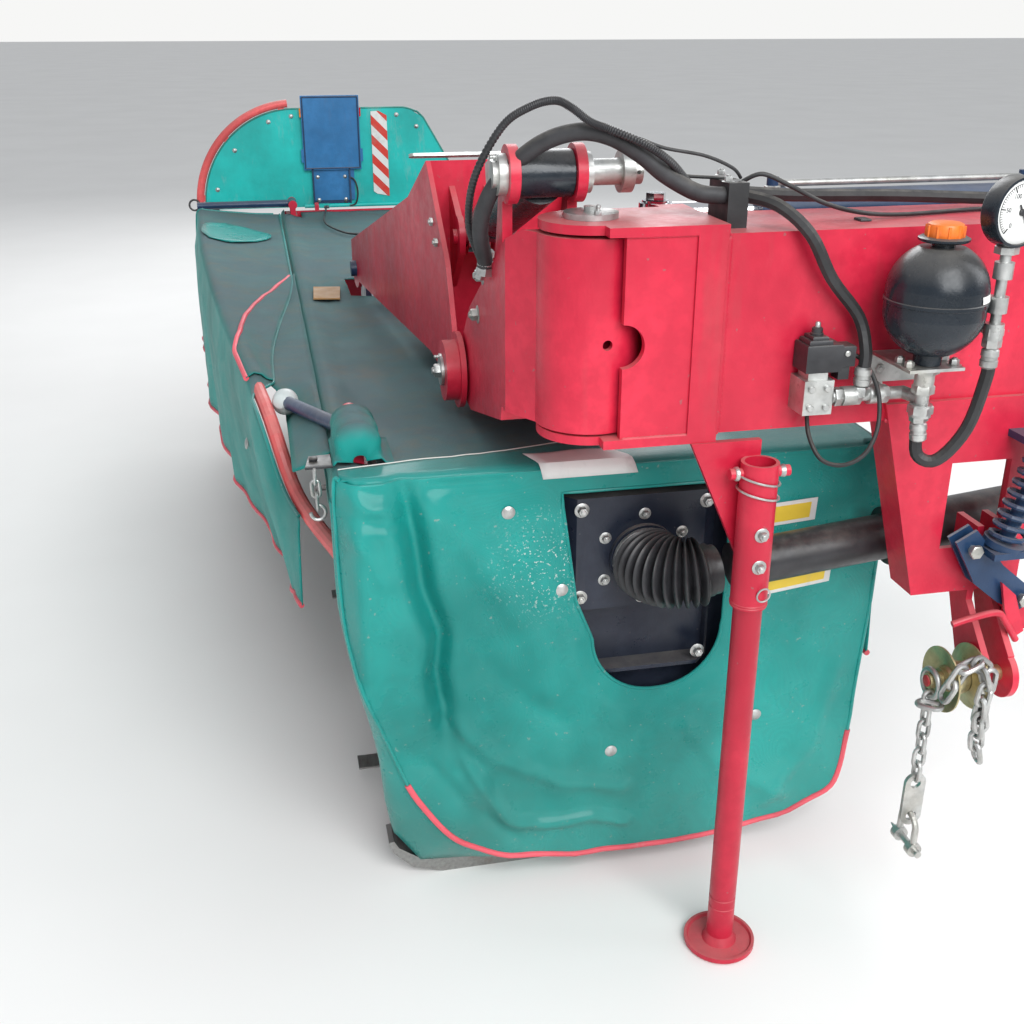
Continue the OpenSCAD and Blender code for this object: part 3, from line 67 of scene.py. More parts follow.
# Places on the machine, in millimetres from the fold pivot and the floor
RAIL_TOP = 880
COVER_FACE = 109
COVER_FRONT, COVER_BACK = -400.5, 619.5
GEARBOX_GUARD = (150, 121, 690)
ACCUMULATOR = (479, -186)
GAUGE_PIPE = (560, -220)
COIL = (325, -126)
STAND = (247, -135.15)
LATCH_FACE = -158
BEAM_SIDE, BEAM_TOP = -101, 1308.4
LAMP_BOARD_BACK, GUARD_BOARD_BACK = 3238.2, 3249

# The front guard's round tube, in millimetres
GUARD_TUBE_RADIUS = 21.5


def at(x, y, z):
    """A point given in millimetres from the fold pivot, with the floor at z = 0."""
    return Vector((PIVOT.x + x / 1000, PIVOT.y + y / 1000, z / 1000))


def places(*points):
    """Points given as at() takes them."""
    return [at(*p) for p in points]


def upright(y, *points):
    """Points (x, z) on an upright plane across the machine."""
    return [at(x, y, z) for x, z in points]


def level(z, *points):
    """Points (x, y) on a level plane."""
    return [at(x, y, z) for x, y in points]


# Settings


def colour_setting(name, about, value):
    return bpy.props.FloatVectorProperty(
        name=name, description=about, subtype="COLOR", size=3, min=0.0, max=1.0, default=value
    )


def length_setting(name, about, value):
    return bpy.props.FloatProperty(name=name, description=about, default=value, unit="LENGTH")


class MowerColours(bpy.types.PropertyGroup):
    """Base colours of the finishes."""

    frame_red: colour_setting("Frame red", "Paint of the beam, arm and carrier", (0.60, 0.010, 0.042))
    guard_navy: colour_setting("Guard navy", "Paint of the guards and struts", (0.010, 0.040, 0.105))
    hoop_salmon: colour_setting("Tube salmon", "Paint of the bent guard tubes", (0.72, 0.10, 0.10))
    canvas_teal: colour_setting("Canvas teal", "Coated cloth of the covers", (0.0, 0.30, 0.265))
    canvas_dust: colour_setting("Canvas dust", "Dust that lies on the covers", (0.100, 0.150, 0.162))
    board_green: colour_setting("Board turquoise", "Plastic of the folded end guard", (0.0, 0.44, 0.40))
    panel_blue: colour_setting("Panel blue", "Paint of the lamp panel", (0.02, 0.17, 0.40))
    zinc: colour_setting("Zinc", "Plating of pins, chain and fittings", (0.58, 0.585, 0.57))
    piping: colour_setting("Piping", "Edge binding of the covers", (0.70, 0.09, 0.12))


class MowerCanvas(bpy.types.PropertyGroup):
    """Shape of the cloth covers."""

    sag: length_setting("Sag", "How far the top cover hangs between its rails", 0.012)
    ripple: length_setting("Ripple", "Height of the small creases", 0.004)
    thickness: length_setting("Thickness", "Thickness of the cloth", 0.003)
    fold_depth: length_setting("Curtain folds", "Depth of the front curtain's folds", 0.012)


class MowerHoses(bpy.types.PropertyGroup):
    """Sizes of the hoses and cables."""

    hose: length_setting("Hose", "Outer diameter of the hydraulic hoses", 0.020)
    cable: length_setting("Cable", "Outer diameter of the electric cable", 0.007)


class MowerFasteners(bpy.types.PropertyGroup):
    """Sizes of the bolts and weld beads."""

    bolt: length_setting("Bolt", "Width across the flats of a common bolt", 0.019)
    weld: length_setting("Weld", "Radius of the weld beads", 0.005)


# Finishes

FIELD_DUST = (0.42, 0.38, 0.33)
DRIED_MUD = (0.13, 0.10, 0.08)
PRIMER = (0.16, 0.14, 0.13)
GRIME = (0.10, 0.085, 0.07)
RUST = (0.20, 0.09, 0.04)
BLOOM = (0.30, 0.27, 0.23)


def shade(base, factor, lift=0.0):
    """A colour made darker or paler."""
    return tuple(min(1.0, c * factor + lift) for c in base)


class Finish:
    """A node material that is put together step by step."""

    def __init__(self, name):
        self.material = bpy.data.materials.new(name)
        self.material.use_nodes = True
        self.tree = self.material.node_tree
        self.shader = self.tree.nodes["Principled BSDF"]
        self.place = self.add("ShaderNodeTexCoord").outputs["Object"]

    def add(self, kind, **values):
        node = self.tree.nodes.new(kind)
        for key, value in values.items():
            setattr(node, key, value)
        return node

    def put(self, socket, value):
        """Gives a socket a number, a colour or another node's output."""
        if isinstance(value, bpy.types.NodeSocket):
            self.tree.links.new(value, socket)
        elif isinstance(value, (int, float)):
            socket.default_value = value
        else:
            socket.default_value = (*value[:3], 1.0)

    def noise(self, scale, detail, rough=0.6, stretch=None):
        node = self.add("ShaderNodeTexNoise")
        for key, value in (("Scale", scale), ("Detail", detail), ("Roughness", rough)):
            node.inputs[key].default_value = value
        vector = self.place
        if stretch:
            mapping = self.add("ShaderNodeMapping")
            mapping.inputs["Scale"].default_value = stretch
            self.put(mapping.inputs["Vector"], vector)
            vector = mapping.outputs["Vector"]
        self.put(node.inputs["Vector"], vector)
        return node.outputs["Fac"]

    def ramp(self, source, low, high, to_low=0.0, to_high=1.0):
        """A value between two levels, spread over two others."""
        node = self.add("ShaderNodeMapRange", clamp=True)
        for key, value in (("From Min", low), ("From Max", high), ("To Min", to_low), ("To Max", to_high)):
            node.inputs[key].default_value = value
        self.put(node.inputs["Value"], source)
        return node.outputs["Result"]

    def cloud(self, scale, detail, low, high, to_low=0.0, to_high=1.0, rough=0.6, stretch=None):
        """Noise between two of its levels, spread over two values."""
        return self.ramp(self.noise(scale, detail, rough, stretch), low, high, to_low, to_high)

    def math(self, kind, a, b):
        node = self.add("ShaderNodeMath", operation=kind)
        for socket, value in zip(node.inputs, (a, b)):
            self.put(socket, value)
        return node.outputs["Value"]

    def blend(self, share, a, b):
        """Two tones mixed, from the first at share 0 to the second at share 1."""
        node = self.add("ShaderNodeMix", data_type="RGBA")
        for key, value in (("Factor", share), ("A", a), ("B", b)):
            self.put(node.inputs[key], value)
        return node.outputs["Result"]

    def pattern(self, kind, scale, output, **values):
        """A texture laid out in the object's own space."""
        node = self.add(kind, **values)
        node.inputs["Scale"].default_value = scale
        self.put(node.inputs["Vector"], self.place)
        return node.outputs[output]

    def axis(self, which):
        node = self.add("ShaderNodeSeparateXYZ")
        self.put(node.inputs["Vector"], self.place)
        return node.outputs[which]

    def upward(self):
        """How far a face looks up."""
        node = self.add("ShaderNodeNewGeometry")
        split = self.add("ShaderNodeSeparateXYZ")
        self.put(split.inputs["Vector"], node.outputs["Normal"])
        return self.ramp(split.outputs["Z"], 0.25, 0.95)

    def settled(self, scale, detail, low, high, least, most, rough=0.7):
        """Patches of dust on the faces that look up."""
        return self.math("MULTIPLY", self.upward(), self.cloud(scale, detail, low, high, least, most, rough))

    def bump(self, height, distance, strength):
        node = self.add("ShaderNodeBump")
        node.inputs["Strength"].default_value = strength
        node.inputs["Distance"].default_value = distance
        self.put(node.inputs["Height"], height)
        self.put(self.shader.inputs["Normal"], node.outputs["Normal"])

    def set(self, **values):
        names = {
            "metal": "Metallic", "coat": "Coat Weight", "coat_rough": "Coat Roughness",
            "specular": "Specular IOR Level", "sheen": "Sheen Weight",
        }
        for key, value in values.items():
            self.shader.inputs[names[key]].default_value = value

    def surface(self, base, rough):
        self.put(self.shader.inputs["Base Color"], base)
        self.put(self.shader.inputs["Roughness"], rough)
        return self.material


def paint(name, base, dust=0.35, chips=0.5, rough=0.34):
    """Sprayed paint with faint mottling, dust on its upper faces, scuffs and a few chips."""
    f = Finish(name)
    dark = shade(base, 0.72)
    mottled = f.blend(f.cloud(3.2, 4.0, 0.35, 0.65), dark, shade(base, 1.12, 0.012))
    fine = f.blend(f.cloud(38.0, 2.0, 0.42, 0.6, 0.0, 0.35), mottled, dark)
    powder = f.settled(7.0, 5.0, 0.38, 0.66, 0.15, dust)
    dusty = f.blend(powder, fine, FIELD_DUST)
    stained = f.blend(f.cloud(9.0, 4.0, 0.60, 0.74, 0.0, 0.22, 0.7, (1.0, 1.0, 0.16)), dusty, DRIED_MUD)
    spots = f.cloud(95.0, 2.0, 0.735, 0.76, 0.0, chips, 0.5)
    chipped = f.blend(spots, stained, PRIMER)
    wear = f.cloud(22.0, 5.0, 0.3, 0.75, rough - 0.06, rough + 0.24, 0.75)
    f.set(coat=0.18, coat_rough=0.25, specular=0.35)
    f.bump(f.math("ADD", f.noise(210.0, 1.0), f.math("MULTIPLY", spots, -0.8)), 0.0005, 0.5)
    return f.surface(chipped, f.math("ADD", wear, f.math("MULTIPLY", powder, 0.3)))


def plated(name, base, rough=0.36, tint=(0.60, 0.56, 0.44)):
    """Zinc plating: cloudy spangle with a yellow cast and dull patches."""
    f = Finish(name)
    spangle = f.blend(f.cloud(26.0, 4.0, 0.35, 0.65), shade(base, 0.62), base)
    yellow = f.blend(f.cloud(8.0, 3.0, 0.5, 0.75, 0.0, 0.35), spangle, tint)
    dull = f.blend(f.cloud(60.0, 5.0, 0.6, 0.72, 0.0, 0.5, 0.75), yellow, GRIME)
    f.set(metal=0.85)
    f.bump(f.noise(160.0, 3.0), 0.0004, 0.6)
    return f.surface(dull, f.cloud(34.0, 4.0, 0.3, 0.7, rough - 0.08, rough + 0.2))


def worn_steel(name, base, rough):
    """Machined or worn steel with a fine directional grain."""
    f = Finish(name)
    grain = f.noise(140.0, 3.0, 0.6, (1.0, 0.15, 1.0))
    tone = f.blend(f.ramp(grain, 0.3, 0.7), shade(base, 0.7), base)
    rusty = f.blend(f.cloud(6.0, 6.0, 0.58, 0.72, 0.0, 0.45, 0.75), tone, RUST)
    f.set(metal=1.0)
    f.bump(grain, 0.0003, 0.5)
    return f.surface(rusty, f.cloud(18.0, 4.0, 0.3, 0.7, rough - 0.05, rough + 0.2))


def polished(name):
    """Hard chromed rod with the faintest film of oil."""
    f = Finish(name)
    film = f.blend(f.cloud(12.0, 3.0, 0.4, 0.7, 0.0, 0.3), (0.72, 0.72, 0.74), (0.55, 0.54, 0.52))
    f.set(metal=1.0)
    f.bump(f.noise(90.0, 2.0), 0.0001, 0.3)
    return f.surface(film, f.cloud(20.0, 3.0, 0.3, 0.7, 0.06, 0.16))


def rubber(name, base=(0.012, 0.012, 0.013), rough=0.52, dust=0.35, grain=240.0):
    """Hose rubber or moulded black plastic, with a pale bloom of dust."""
    f = Finish(name)
    tone = f.blend(f.cloud(16.0, 4.0, 0.35, 0.7), base, shade(base, 1.9, 0.004))
    powder = f.settled(24.0, 5.0, 0.4, 0.7, 0.05, dust)
    f.bump(f.noise(grain, 2.0), 0.0003, 0.6)
    return f.surface(f.blend(powder, tone, BLOOM), f.cloud(40.0, 3.0, 0.3, 0.7, rough - 0.08, rough + 0.14))


def cloth(name, base, dust_colour, dust_top, gloss=0.45):
    """Coated tarpaulin: crossed yarns under a satin film, creased, dusty where it lies flat."""
    weave, dust_start, dust_full = 430.0, PIVOT.y + 0.10, PIVOT.y + 0.17
    f = Finish(name)
    bands = []
    for way in "XYZ":
        band = f.add("ShaderNodeTexWave", wave_type="BANDS", bands_direction=way)
        band.inputs["Scale"].default_value = weave
        band.inputs["Distortion"].default_value = 0.6
        f.put(band.inputs["Vector"], f.place)
        bands.append(band.outputs["Fac"])
    yarns = f.math("ADD", bands[0], f.math("ADD", bands[1], bands[2]))
    tone = f.blend(f.cloud(2.4, 4.0, 0.35, 0.66), shade(base, 0.7), shade(base, 1.2, 0.006))
    thread = f.blend(f.ramp(yarns, 0.6, 2.4, 0.0, 0.2), tone, shade(base, 0.5))
    scuff = f.blend(f.cloud(13.0, 6.0, 0.60, 0.78, 0.0, 0.12, 0.8), thread, (0.14, 0.32, 0.27))
    splash = f.blend(f.cloud(95.0, 2.0, 0.70, 0.73, 0.0, 0.5), scuff, (0.36, 0.38, 0.33))
    reach, splash_middle = f.add("ShaderNodeVectorMath", operation="DISTANCE"), at(-38, 104, 700)
    f.put(reach.inputs[0], f.place)
    reach.inputs[1].default_value = splash_middle
    near = f.ramp(reach.outputs["Value"], 0.02, 0.13, 1.0, 0.0)
    drops = f.math("MULTIPLY", near, f.cloud(170.0, 2.0, 0.62, 0.65, 0.0, 0.75))
    splash = f.blend(drops, splash, (0.62, 0.66, 0.62))
    far = f.ramp(f.axis("Y"), dust_start, dust_full)
    layer = f.settled(3.4, 7.0, 0.28, 0.60, min(0.76, dust_top), dust_top, 0.75)
    powder = f.math("MULTIPLY", layer, f.math("ADD", 0.25, f.math("MULTIPLY", far, 0.75)))
    low = f.ramp(f.axis("Z"), 0.42, 0.12, 0.0, 0.22)
    soiled = f.blend(f.math("MULTIPLY", low, f.noise(9.0, 5.0)), splash, (0.17, 0.13, 0.09))
    earth = f.blend(f.cloud(8.0, 7.0, 0.48, 0.66, rough=0.8), dust_colour, (0.135, 0.150, 0.138))
    f.set(coat=gloss * 0.7, coat_rough=0.2, sheen=0.02, specular=0.3)
    f.bump(f.math("ADD", f.math("MULTIPLY", yarns, 0.18), f.noise(22.0, 5.0, 0.7)), 0.0018, 0.55)
    covered = f.blend(powder, soiled, earth)
    satin = f.cloud(15.0, 4.0, 0.3, 0.7, 0.42 - gloss * 0.4, 0.54 - gloss * 0.4)
    return f.surface(covered, f.math("ADD", satin, f.math("MULTIPLY", powder, 0.5)))


def moulded(name, base, rough, spread=0.22):
    """Moulded sheet plastic with a slight orange peel and water marks."""
    f = Finish(name)
    tone = f.blend(f.cloud(5.0, 5.0, 0.32, 0.68), shade(base, 1 - spread), shade(base, 1 + spread))
    marks = f.blend(f.cloud(17.0, 5.0, 0.56, 0.7, 0.0, 0.25, 0.75, (1.0, 1.0, 0.3)), tone, (0.33, 0.36, 0.33))
    f.bump(f.noise(85.0, 2.0), 0.0005, 0.4)
    return f.surface(marks, f.cloud(28.0, 3.0, 0.3, 0.7, rough - 0.06, rough + 0.15))


def striped(name, first, second, pitch):
    """Reflective sheet with slanted stripes and a fine honeycomb."""
    f = Finish(name)
    run = f.math("ADD", f.axis("X"), f.axis("Z"))
    shift = 40.0
    phase = f.math("FRACT", f.math("DIVIDE", f.math("ADD", run, shift), pitch), 0.0)
    stripe = f.ramp(phase, 0.49, 0.51)
    cells = f.pattern("ShaderNodeTexVoronoi", 320.0, "Distance", feature="DISTANCE_TO_EDGE")
    sheet = f.blend(stripe, first, second)
    dirty = f.blend(f.cloud(14.0, 5.0, 0.5, 0.72, 0.0, 0.4, 0.7), sheet, (0.28, 0.25, 0.21))
    f.bump(cells, 0.0002, 0.3)
    return f.surface(dirty, f.cloud(30.0, 3.0, 0.3, 0.7, 0.3, 0.5))


def glassy(name, base):
    """Lens glass with a prismed back."""
    f = Finish(name)
    cells = f.pattern("ShaderNodeTexVoronoi", 180.0, "Distance", feature="DISTANCE_TO_EDGE")
    f.set(coat=1.0, coat_rough=0.05)
    f.bump(cells, 0.0006, 0.4)
    tone = f.blend(f.ramp(cells, 0.0, 0.2, 0.0, 0.4), base, shade(base, 1.6))
    return f.surface(tone, f.cloud(12.0, 3.0, 0.3, 0.7, 0.08, 0.16))


FINISHES = {}


def finish(name):
    return FINISHES[name]


def mix_finishes():
    c = bpy.context.scene.mower_colours
    FINISHES.update(
        red=paint("frame_red_paint", c.frame_red),
        maroon=paint("stand_red_paint", shade(c.frame_red, 0.85), dust=0.25),
        navy=paint("guard_navy_paint", c.guard_navy, dust=0.25, chips=0.35),
        dark_navy=paint("drive_guard_paint", (0.008, 0.013, 0.028), dust=0.35, chips=0.3, rough=0.3),
        salmon=paint("tube_salmon_paint", c.hoop_salmon, dust=0.45, chips=0.3, rough=0.42),
        black=paint("black_gloss_paint", (0.006, 0.012, 0.020), dust=0.3, chips=0.2, rough=0.2),
        grey=paint("gearbox_grey_paint", (0.16, 0.165, 0.175), dust=0.4, chips=0.4, rough=0.45),
        blue=paint("panel_blue_paint", c.panel_blue, dust=0.2, chips=0.2),
        zinc=plated("zinc_plate", c.zinc),
        yellow_zinc=plated("yellow_zinc_plate", (0.60, 0.52, 0.30), 0.4, (0.66, 0.46, 0.16)),
        steel=worn_steel("worn_steel", (0.40, 0.39, 0.38), 0.38),
        chrome=polished("chromed_rod"),
        rubber=rubber("hose_rubber"),
        bellows=rubber("bellows_rubber", (0.014, 0.014, 0.016), 0.42, 0.25, 120.0),
        plastic=rubber("black_guard_plastic", (0.016, 0.016, 0.018), 0.36, 0.3, 90.0),
        canvas=cloth("teal_canvas", c.canvas_teal, c.canvas_dust, 0.35),
        canvas_clean=cloth("clean_canvas", c.canvas_teal, c.canvas_dust, 0.0),
        canvas_top=cloth("dusty_canvas", c.canvas_teal, c.canvas_dust, 0.97, 0.04),
        piping=moulded("piping_binding", c.piping, 0.5),
        board=moulded("turquoise_board", c.board_green, 0.42),
        hazard=striped("hazard_sheet", (0.72, 0.72, 0.70), (0.62, 0.035, 0.02), 0.075),
        board_edge=moulded("board_binding", (0.02, 0.22, 0.18), 0.5),
        sleeve=rubber("hose_sleeve", (0.020, 0.020, 0.022), 0.6, 0.45, 420.0),
        red_core=paint("ball_core_paint", (0.42, 0.02, 0.03)),
        cap_grey=moulded("ball_cap_grey", (0.50, 0.55, 0.54), 0.4, 0.1),
        white=moulded("blank_white_label", (0.70, 0.70, 0.68), 0.4, 0.08),
        yellow=moulded("blank_yellow_label", (0.78, 0.56, 0.05), 0.4, 0.1),
        orange=moulded("orange_cap", (0.80, 0.17, 0.02), 0.4, 0.1),
        tan=moulded("tan_board", (0.36, 0.20, 0.075), 0.6, 0.3),
        red_lens=glassy("red_lens", (0.45, 0.01, 0.01)),
        amber_lens=glassy("amber_lens", (0.70, 0.20, 0.01)),
        clear_lens=glassy("clear_lens", (0.55, 0.55, 0.55)),
        stitch=moulded("white_thread", (0.62, 0.62, 0.58), 0.6, 0.1),
    )


NODE_FINISH = {
    "red": "main_beam headstock_frame swing_arm carrier_frame unit_frame stand_sleeve",
    "maroon": "stand_leg",
    "dark_navy": "gearbox_guard",
    "navy": "float_bracket front_strut relief_spring fold_barrel",
    "salmon": "front_guard_tube guard_hoop",
    "zinc": "fold_pin check_chain accumulator_bracket valve_block hydraulic_fittings lift_head_pin lift_pin"
            " shut_off_valve",
    "yellow_zinc": "lower_link_pins",
    "chrome": "fold_rod lift_rod",
    "grey": "drive_gearbox cutter_bar",
    "black": "accumulator lift_barrel pressure_gauge",
    "rubber": "beam_hoses arm_hoses",
    "bellows": "drive_bellows",
    "plastic": "shaft_outer shaft_inner drive_yoke",
    "canvas": "hood_canvas inner_canvas front_curtain",
    "steel": "skids conditioner_hood conditioner_rotor input_shaft disc_1 disc_2 disc_3 disc_4 disc_5"
             " disc_6 disc_7",
    "board": "guard_board",
    "blue": "light_board",
    "hazard": "hazard_board",
}


# Shapes


def side_pair(direction):
    """Two directions square to the given one."""
    d = direction.normalized()
    first = d.cross(UP if abs(d.z) < 0.9 else RIGHT).normalized()
    return first, d.cross(first).normalized()


def round_about(u, v, sides):
    """Directions spaced evenly in the plane of u and v."""
    turns = [2 * math.pi * k / sides for k in range(sides)]
    return [u * math.cos(a) + v * math.sin(a) for a in turns]


def skin(rings, sides):
    """Faces between rings of points that follow one another, with both ends closed."""
    faces = []
    for start in range(0, (rings - 1) * sides, sides):
        for k in range(sides):
            n = (k + 1) % sides
            faces.append((start + k, start + n, start + sides + n, start + sides + k))
    return faces + [tuple(range(sides))[::-1], tuple(range((rings - 1) * sides, rings * sides))]


def net(rows, columns, keep=None):
    """Faces of a sheet whose points stand in rows; keep says which cells stay."""
    return [(i * columns + j, i * columns + j + 1, (i + 1) * columns + j + 1, (i + 1) * columns + j)
            for i in range(rows - 1) for j in range(columns - 1) if keep is None or keep(i, j)]


class Shape:
    """Collects the vertices and faces of one piece, in metres."""

    def __init__(self):
        self.points, self.faces = [], []

    def add(self, points, faces):
        start = len(self.points)
        self.points += [Vector(p) for p in points]
        self.faces += [tuple(i + start for i in face) for face in faces]

    def lathe(self, base, direction, profile, sides):
        """Turns (height, radius) pairs round an axis; an end with radius 0 closes to a point."""
        d = direction.normalized()
        ways = round_about(*side_pair(d), sides)
        points = [base + d * height + way * max(radius, 1e-5) for height, radius in profile for way in ways]
        self.add(points, skin(len(profile), sides))

    def tube(self, path, radius, sides):
        """A tube along a path; radius is a number or a function of the ring's index."""
        size = radius if callable(radius) else lambda i: radius
        last = len(path) - 1
        runs = [(path[min(i + 1, last)] - path[max(i - 1, 0)]).normalized() for i in range(last + 1)]
        u, points = side_pair(runs[0])[0], []
        for i, run in enumerate(runs):
            u = (u - run * u.dot(run)).normalized()
            points += [path[i] + way * size(i) for way in round_about(u, run.cross(u), sides)]
        self.add(points, skin(last + 1, sides))

    def hexagon(self, base, direction, across, height):
        """A chamfered hexagon head or nut."""
        corner = across / math.sqrt(3)
        self.lathe(base, direction, ((0, corner), (height * 0.82, corner), (height, corner * 0.86)), 6)

    def bolt(self, base, direction, across=None):
        """Washer, hexagon head and the end of the shank."""
        across = across or bpy.context.scene.mower_fasteners.bolt
        d = direction.normalized()
        washer, shank = across * 0.08, across * 0.31
        rim = ((0, across * 0.86), (washer * 0.6, across * 0.88), (washer, across * 0.84))
        self.lathe(base - d * 0.0004, d, rim, 20)
        self.hexagon(base + d * washer, d, across, across * 0.62)
        end = ((0, shank), (across * 0.14, shank), (across * 0.2, across * 0.24))
        self.lathe(base + d * (washer + across * 0.6), d, end, 14)

    def bolts(self, direction, across, *spots):
        """Bolts at places in millimetres; without a size they take the common one."""
        for spot in spots:
            self.bolt(at(*spot), direction, across)

    def slab(self, corners, thickness, direction):
        """A flat plate from its outline, with a bevelled rim."""
        d = direction.normalized()
        middle = sum(corners, Vector()) / len(corners)
        rim = min(thickness * 0.4, 0.002)
        points = []
        for height, inset in ((0, 0), (thickness - rim, 0), (thickness, rim)):
            points += [p + d * height + (middle - p).normalized() * inset for p in corners]
        self.add(points, skin(3, len(corners)))

    def block(self, low, high):
        """A box with softened edges, from its corners in millimetres."""
        (x0, y0, z0), (x1, y1, z1) = low, high
        self.slab(level(z0, (x0, y0), (x1, y0), (x1, y1), (x0, y1)), (z1 - z0) / 1000, UP)

    def pane(self, y, low, high, thickness):
        """A flat upright plate across the machine, from two of its corners."""
        (x0, z0), (x1, z1) = low, high
        self.slab(upright(y, (x0, z0), (x1, z0), (x1, z1), (x0, z1)), thickness, BACK)

    def weld(self, start, end, share=1.0):
        """A rippled bead between two places in millimetres; share makes it finer."""
        a, b = places(start, end)
        size = bpy.context.scene.mower_fasteners.weld * share
        count = max(6, int((b - a).length / (size * 0.9)))
        path = [a.lerp(b, i / count) for i in range(count + 1)]
        self.tube(path, lambda i: size * (0.86 + 0.14 * (i % 2)) * (0.6 if i in (0, count) else 1.0), 8)

    def chain(self, pitch, wire, *spots, turned=0):
        """Interlocked oval links along places in millimetres."""
        line = curve_at(30, *spots)
        joints, travelled = [], 0.0
        for a, b in zip(line, line[1:]):
            step = (b - a).length
            while travelled + step >= len(joints) * pitch:
                joints.append(a.lerp(b, (len(joints) * pitch - travelled) / max(step, 1e-9)))
            travelled += step
        half, wide = pitch / 2 + wire * 0.12, wire * 1.18
        for k, (a, b) in enumerate(zip(joints, joints[1:]), turned):
            run = (b - a).normalized()
            across, middle = side_pair(run)[k % 2], (a + b) / 2
            loop = []
            for t in [2 * math.pi * n / 20 for n in range(21)]:
                end = 0 if abs(math.cos(t)) < 1e-6 else math.copysign(half - wide * 0.55, math.cos(t))
                loop.append(middle + run * (end + math.cos(t) * wide) + across * math.sin(t) * wide)
            self.tube(loop, wire / 2, 8)

    def build(self, name, finish_name, body, smooth=40):
        """Makes the piece; edges sharper than smooth degrees stay sharp, and 0 leaves every face flat."""
        mesh = bpy.data.meshes.new(name)
        mesh.from_pydata([tuple(p) for p in self.points], [], self.faces)
        mesh.update()
        made = bpy.data.objects.new(name, mesh)
        bpy.context.scene.collection.objects.link(made)
        mesh.materials.append(finish(finish_name))
        if smooth:
            mesh.shade_smooth()
            mesh.set_sharp_from_angle(angle=math.radians(smooth))
        if body:
            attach(made, body)
        return made


def curve_through(points, steps):
    """A smooth line through points, in metres."""
    pts = [Vector(p) for p in points]
    line = []
    for i in range(len(pts) - 1):
        a, b, c, d = pts[max(i - 1, 0)], pts[i], pts[i + 1], pts[min(i + 2, len(pts) - 1)]
        for t in [k / steps for k in range(steps)]:
            bend = (2 * a - 5 * b + 4 * c - d) * t * t
            line.append(0.5 * (2 * b + (c - a) * t + bend + (3 * b - a - 3 * c + d) * t ** 3))
    return line + [pts[-1]]


def curve_at(steps, *points):
    """A smooth line through places in millimetres."""
    return curve_through(places(*points), steps)


def run_length(line):
    return sum((b - a).length for a, b in zip(line, line[1:]))


def thicken(made, thickness, name="cloth_thickness"):
    solid = made.modifiers.new(name, "SOLIDIFY")
    solid.thickness = thickness
    solid.offset = -1.0


def cloth_piece(name, grid, body, keep=None, thickness=None, finish_name="canvas"):
    """A sheet from rows of points; keep says which cells stay."""
    shape = Shape()
    shape.add([p for row in grid for p in row], net(len(grid), len(grid[0]), keep))
    made = shape.build(name, finish_name, None, smooth=0)
    mesh = made.data
    work = bmesh.new()
    work.from_mesh(mesh)
    bmesh.ops.delete(work, geom=[v for v in work.verts if not v.link_faces], context="VERTS")
    work.to_mesh(mesh)
    work.free()
    mesh.shade_smooth()
    thicken(made, thickness or bpy.context.scene.mower_canvas.thickness)
    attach(made, body)
    return made


# Operators


class MowerOperator(bpy.types.Operator):
    """Shared base of the mower's operators."""

    bl_options = {"REGISTER", "UNDO"}


class MOWER_OT_finishes(MowerOperator):
    """Mixes the finishes and paints every carried part"""

    bl_idname = "mower.finishes"
    bl_label = "Paint the machine"

    def execute(self, context):
        mix_finishes()
        for finish_name, nodes in NODE_FINISH.items():
            for node in nodes.split():
                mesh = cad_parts[node].data
                mesh.materials.clear()
                mesh.materials.append(finish(finish_name))
        return {"FINISHED"}


# Cloth covers: outlines are (x, z) in millimetres, and the valley and the cut-out's left side are (z, x)
END_OUTLINE = [
    (-392, 878), (-402, 855), (-400, 640), (-384, 520), (-352, 420), (-300, 262), (-232, 150), (-150, 84),
    (0, 58), (180, 54), (400, 66), (552, 112), (594, 200), (608, 420), (618, 700), (619, 850), (596, 878),
]
VALLEY = [(300, -196), (360, -220), (496, -238), (578, -229), (668, -258), (760, -268), (838, -281),
          (890, -288)]
CUT_LEFT = [(412, 150), (495, 70), (616, 21), (836, -11), (880, -14)]
WRAP_BACK = [(-399, 846), (-398, 640), (-366, 440), (-348, 300), (-340, 190), (-328, 116), (-274, 36),
             (-150, 26), (0, 40), (60, 52)]
# Each pleat is its line, its width and its depth
PLEATS = (
    ([(-226, 372), (-190, 300), (-108, 153), (-40, 136), (57, 143), (130, 121)], 12, 11),
    ([(-240, 420), (-130, 300), (-10, 232), (120, 205)], 17, 7),
    ([(-255, 300), (-180, 190), (-90, 110)], 14, -6),
    ([(250, 330), (330, 210), (470, 130)], 22, 5),
    ([(560, 420), (520, 250), (430, 120)], 20, 6),
    ([(-392, 868), (-344, 838), (-300, 832)], 8, 7),
    ([(-398, 830), (-350, 812), (-296, 806)], 9, -6),
    ([(-392, 790), (-352, 762), (-330, 700)], 12, 5),
    ([(-230, 820), (-150, 700), (-60, 560), (-30, 430)], 30, 5),
    ([(-200, 600), (-120, 470), (0, 360)], 26, -4),
)
# The bent tube of the front guard, as (x, y, z)
GUARD_ROUTE = [(-705, 3165, 884), (-703, 3110, 884), (-659, 2200, 884), (-585, 1300, 882), (-508, 640, 862),
               (-458, 470, 722), (-392, 215, 700)]


def clamped(value):
    return min(1.0, max(0.0, value))


def ease(value):
    t = clamped(value)
    return t * t * (3 - 2 * t)


def hill(value, centre, width):
    """A swelling that is 1 at its centre and fades over its width."""
    return math.exp(-(((value - centre) / width) ** 2))


def ripple(x, y, z, scale, height):
    """Soft creases from smooth noise at a place in millimetres."""
    return noise.noise(Vector((x / 1000, y / 1000, z / 1000)) * scale) * height


def track(line, z):
    """Where a line given as (z, x) points stands at a height."""
    for (low, a), (high, b) in zip(line, line[1:]):
        if z <= high:
            return a + (b - a) * clamped((z - low) / (high - low))
    return line[-1][1]


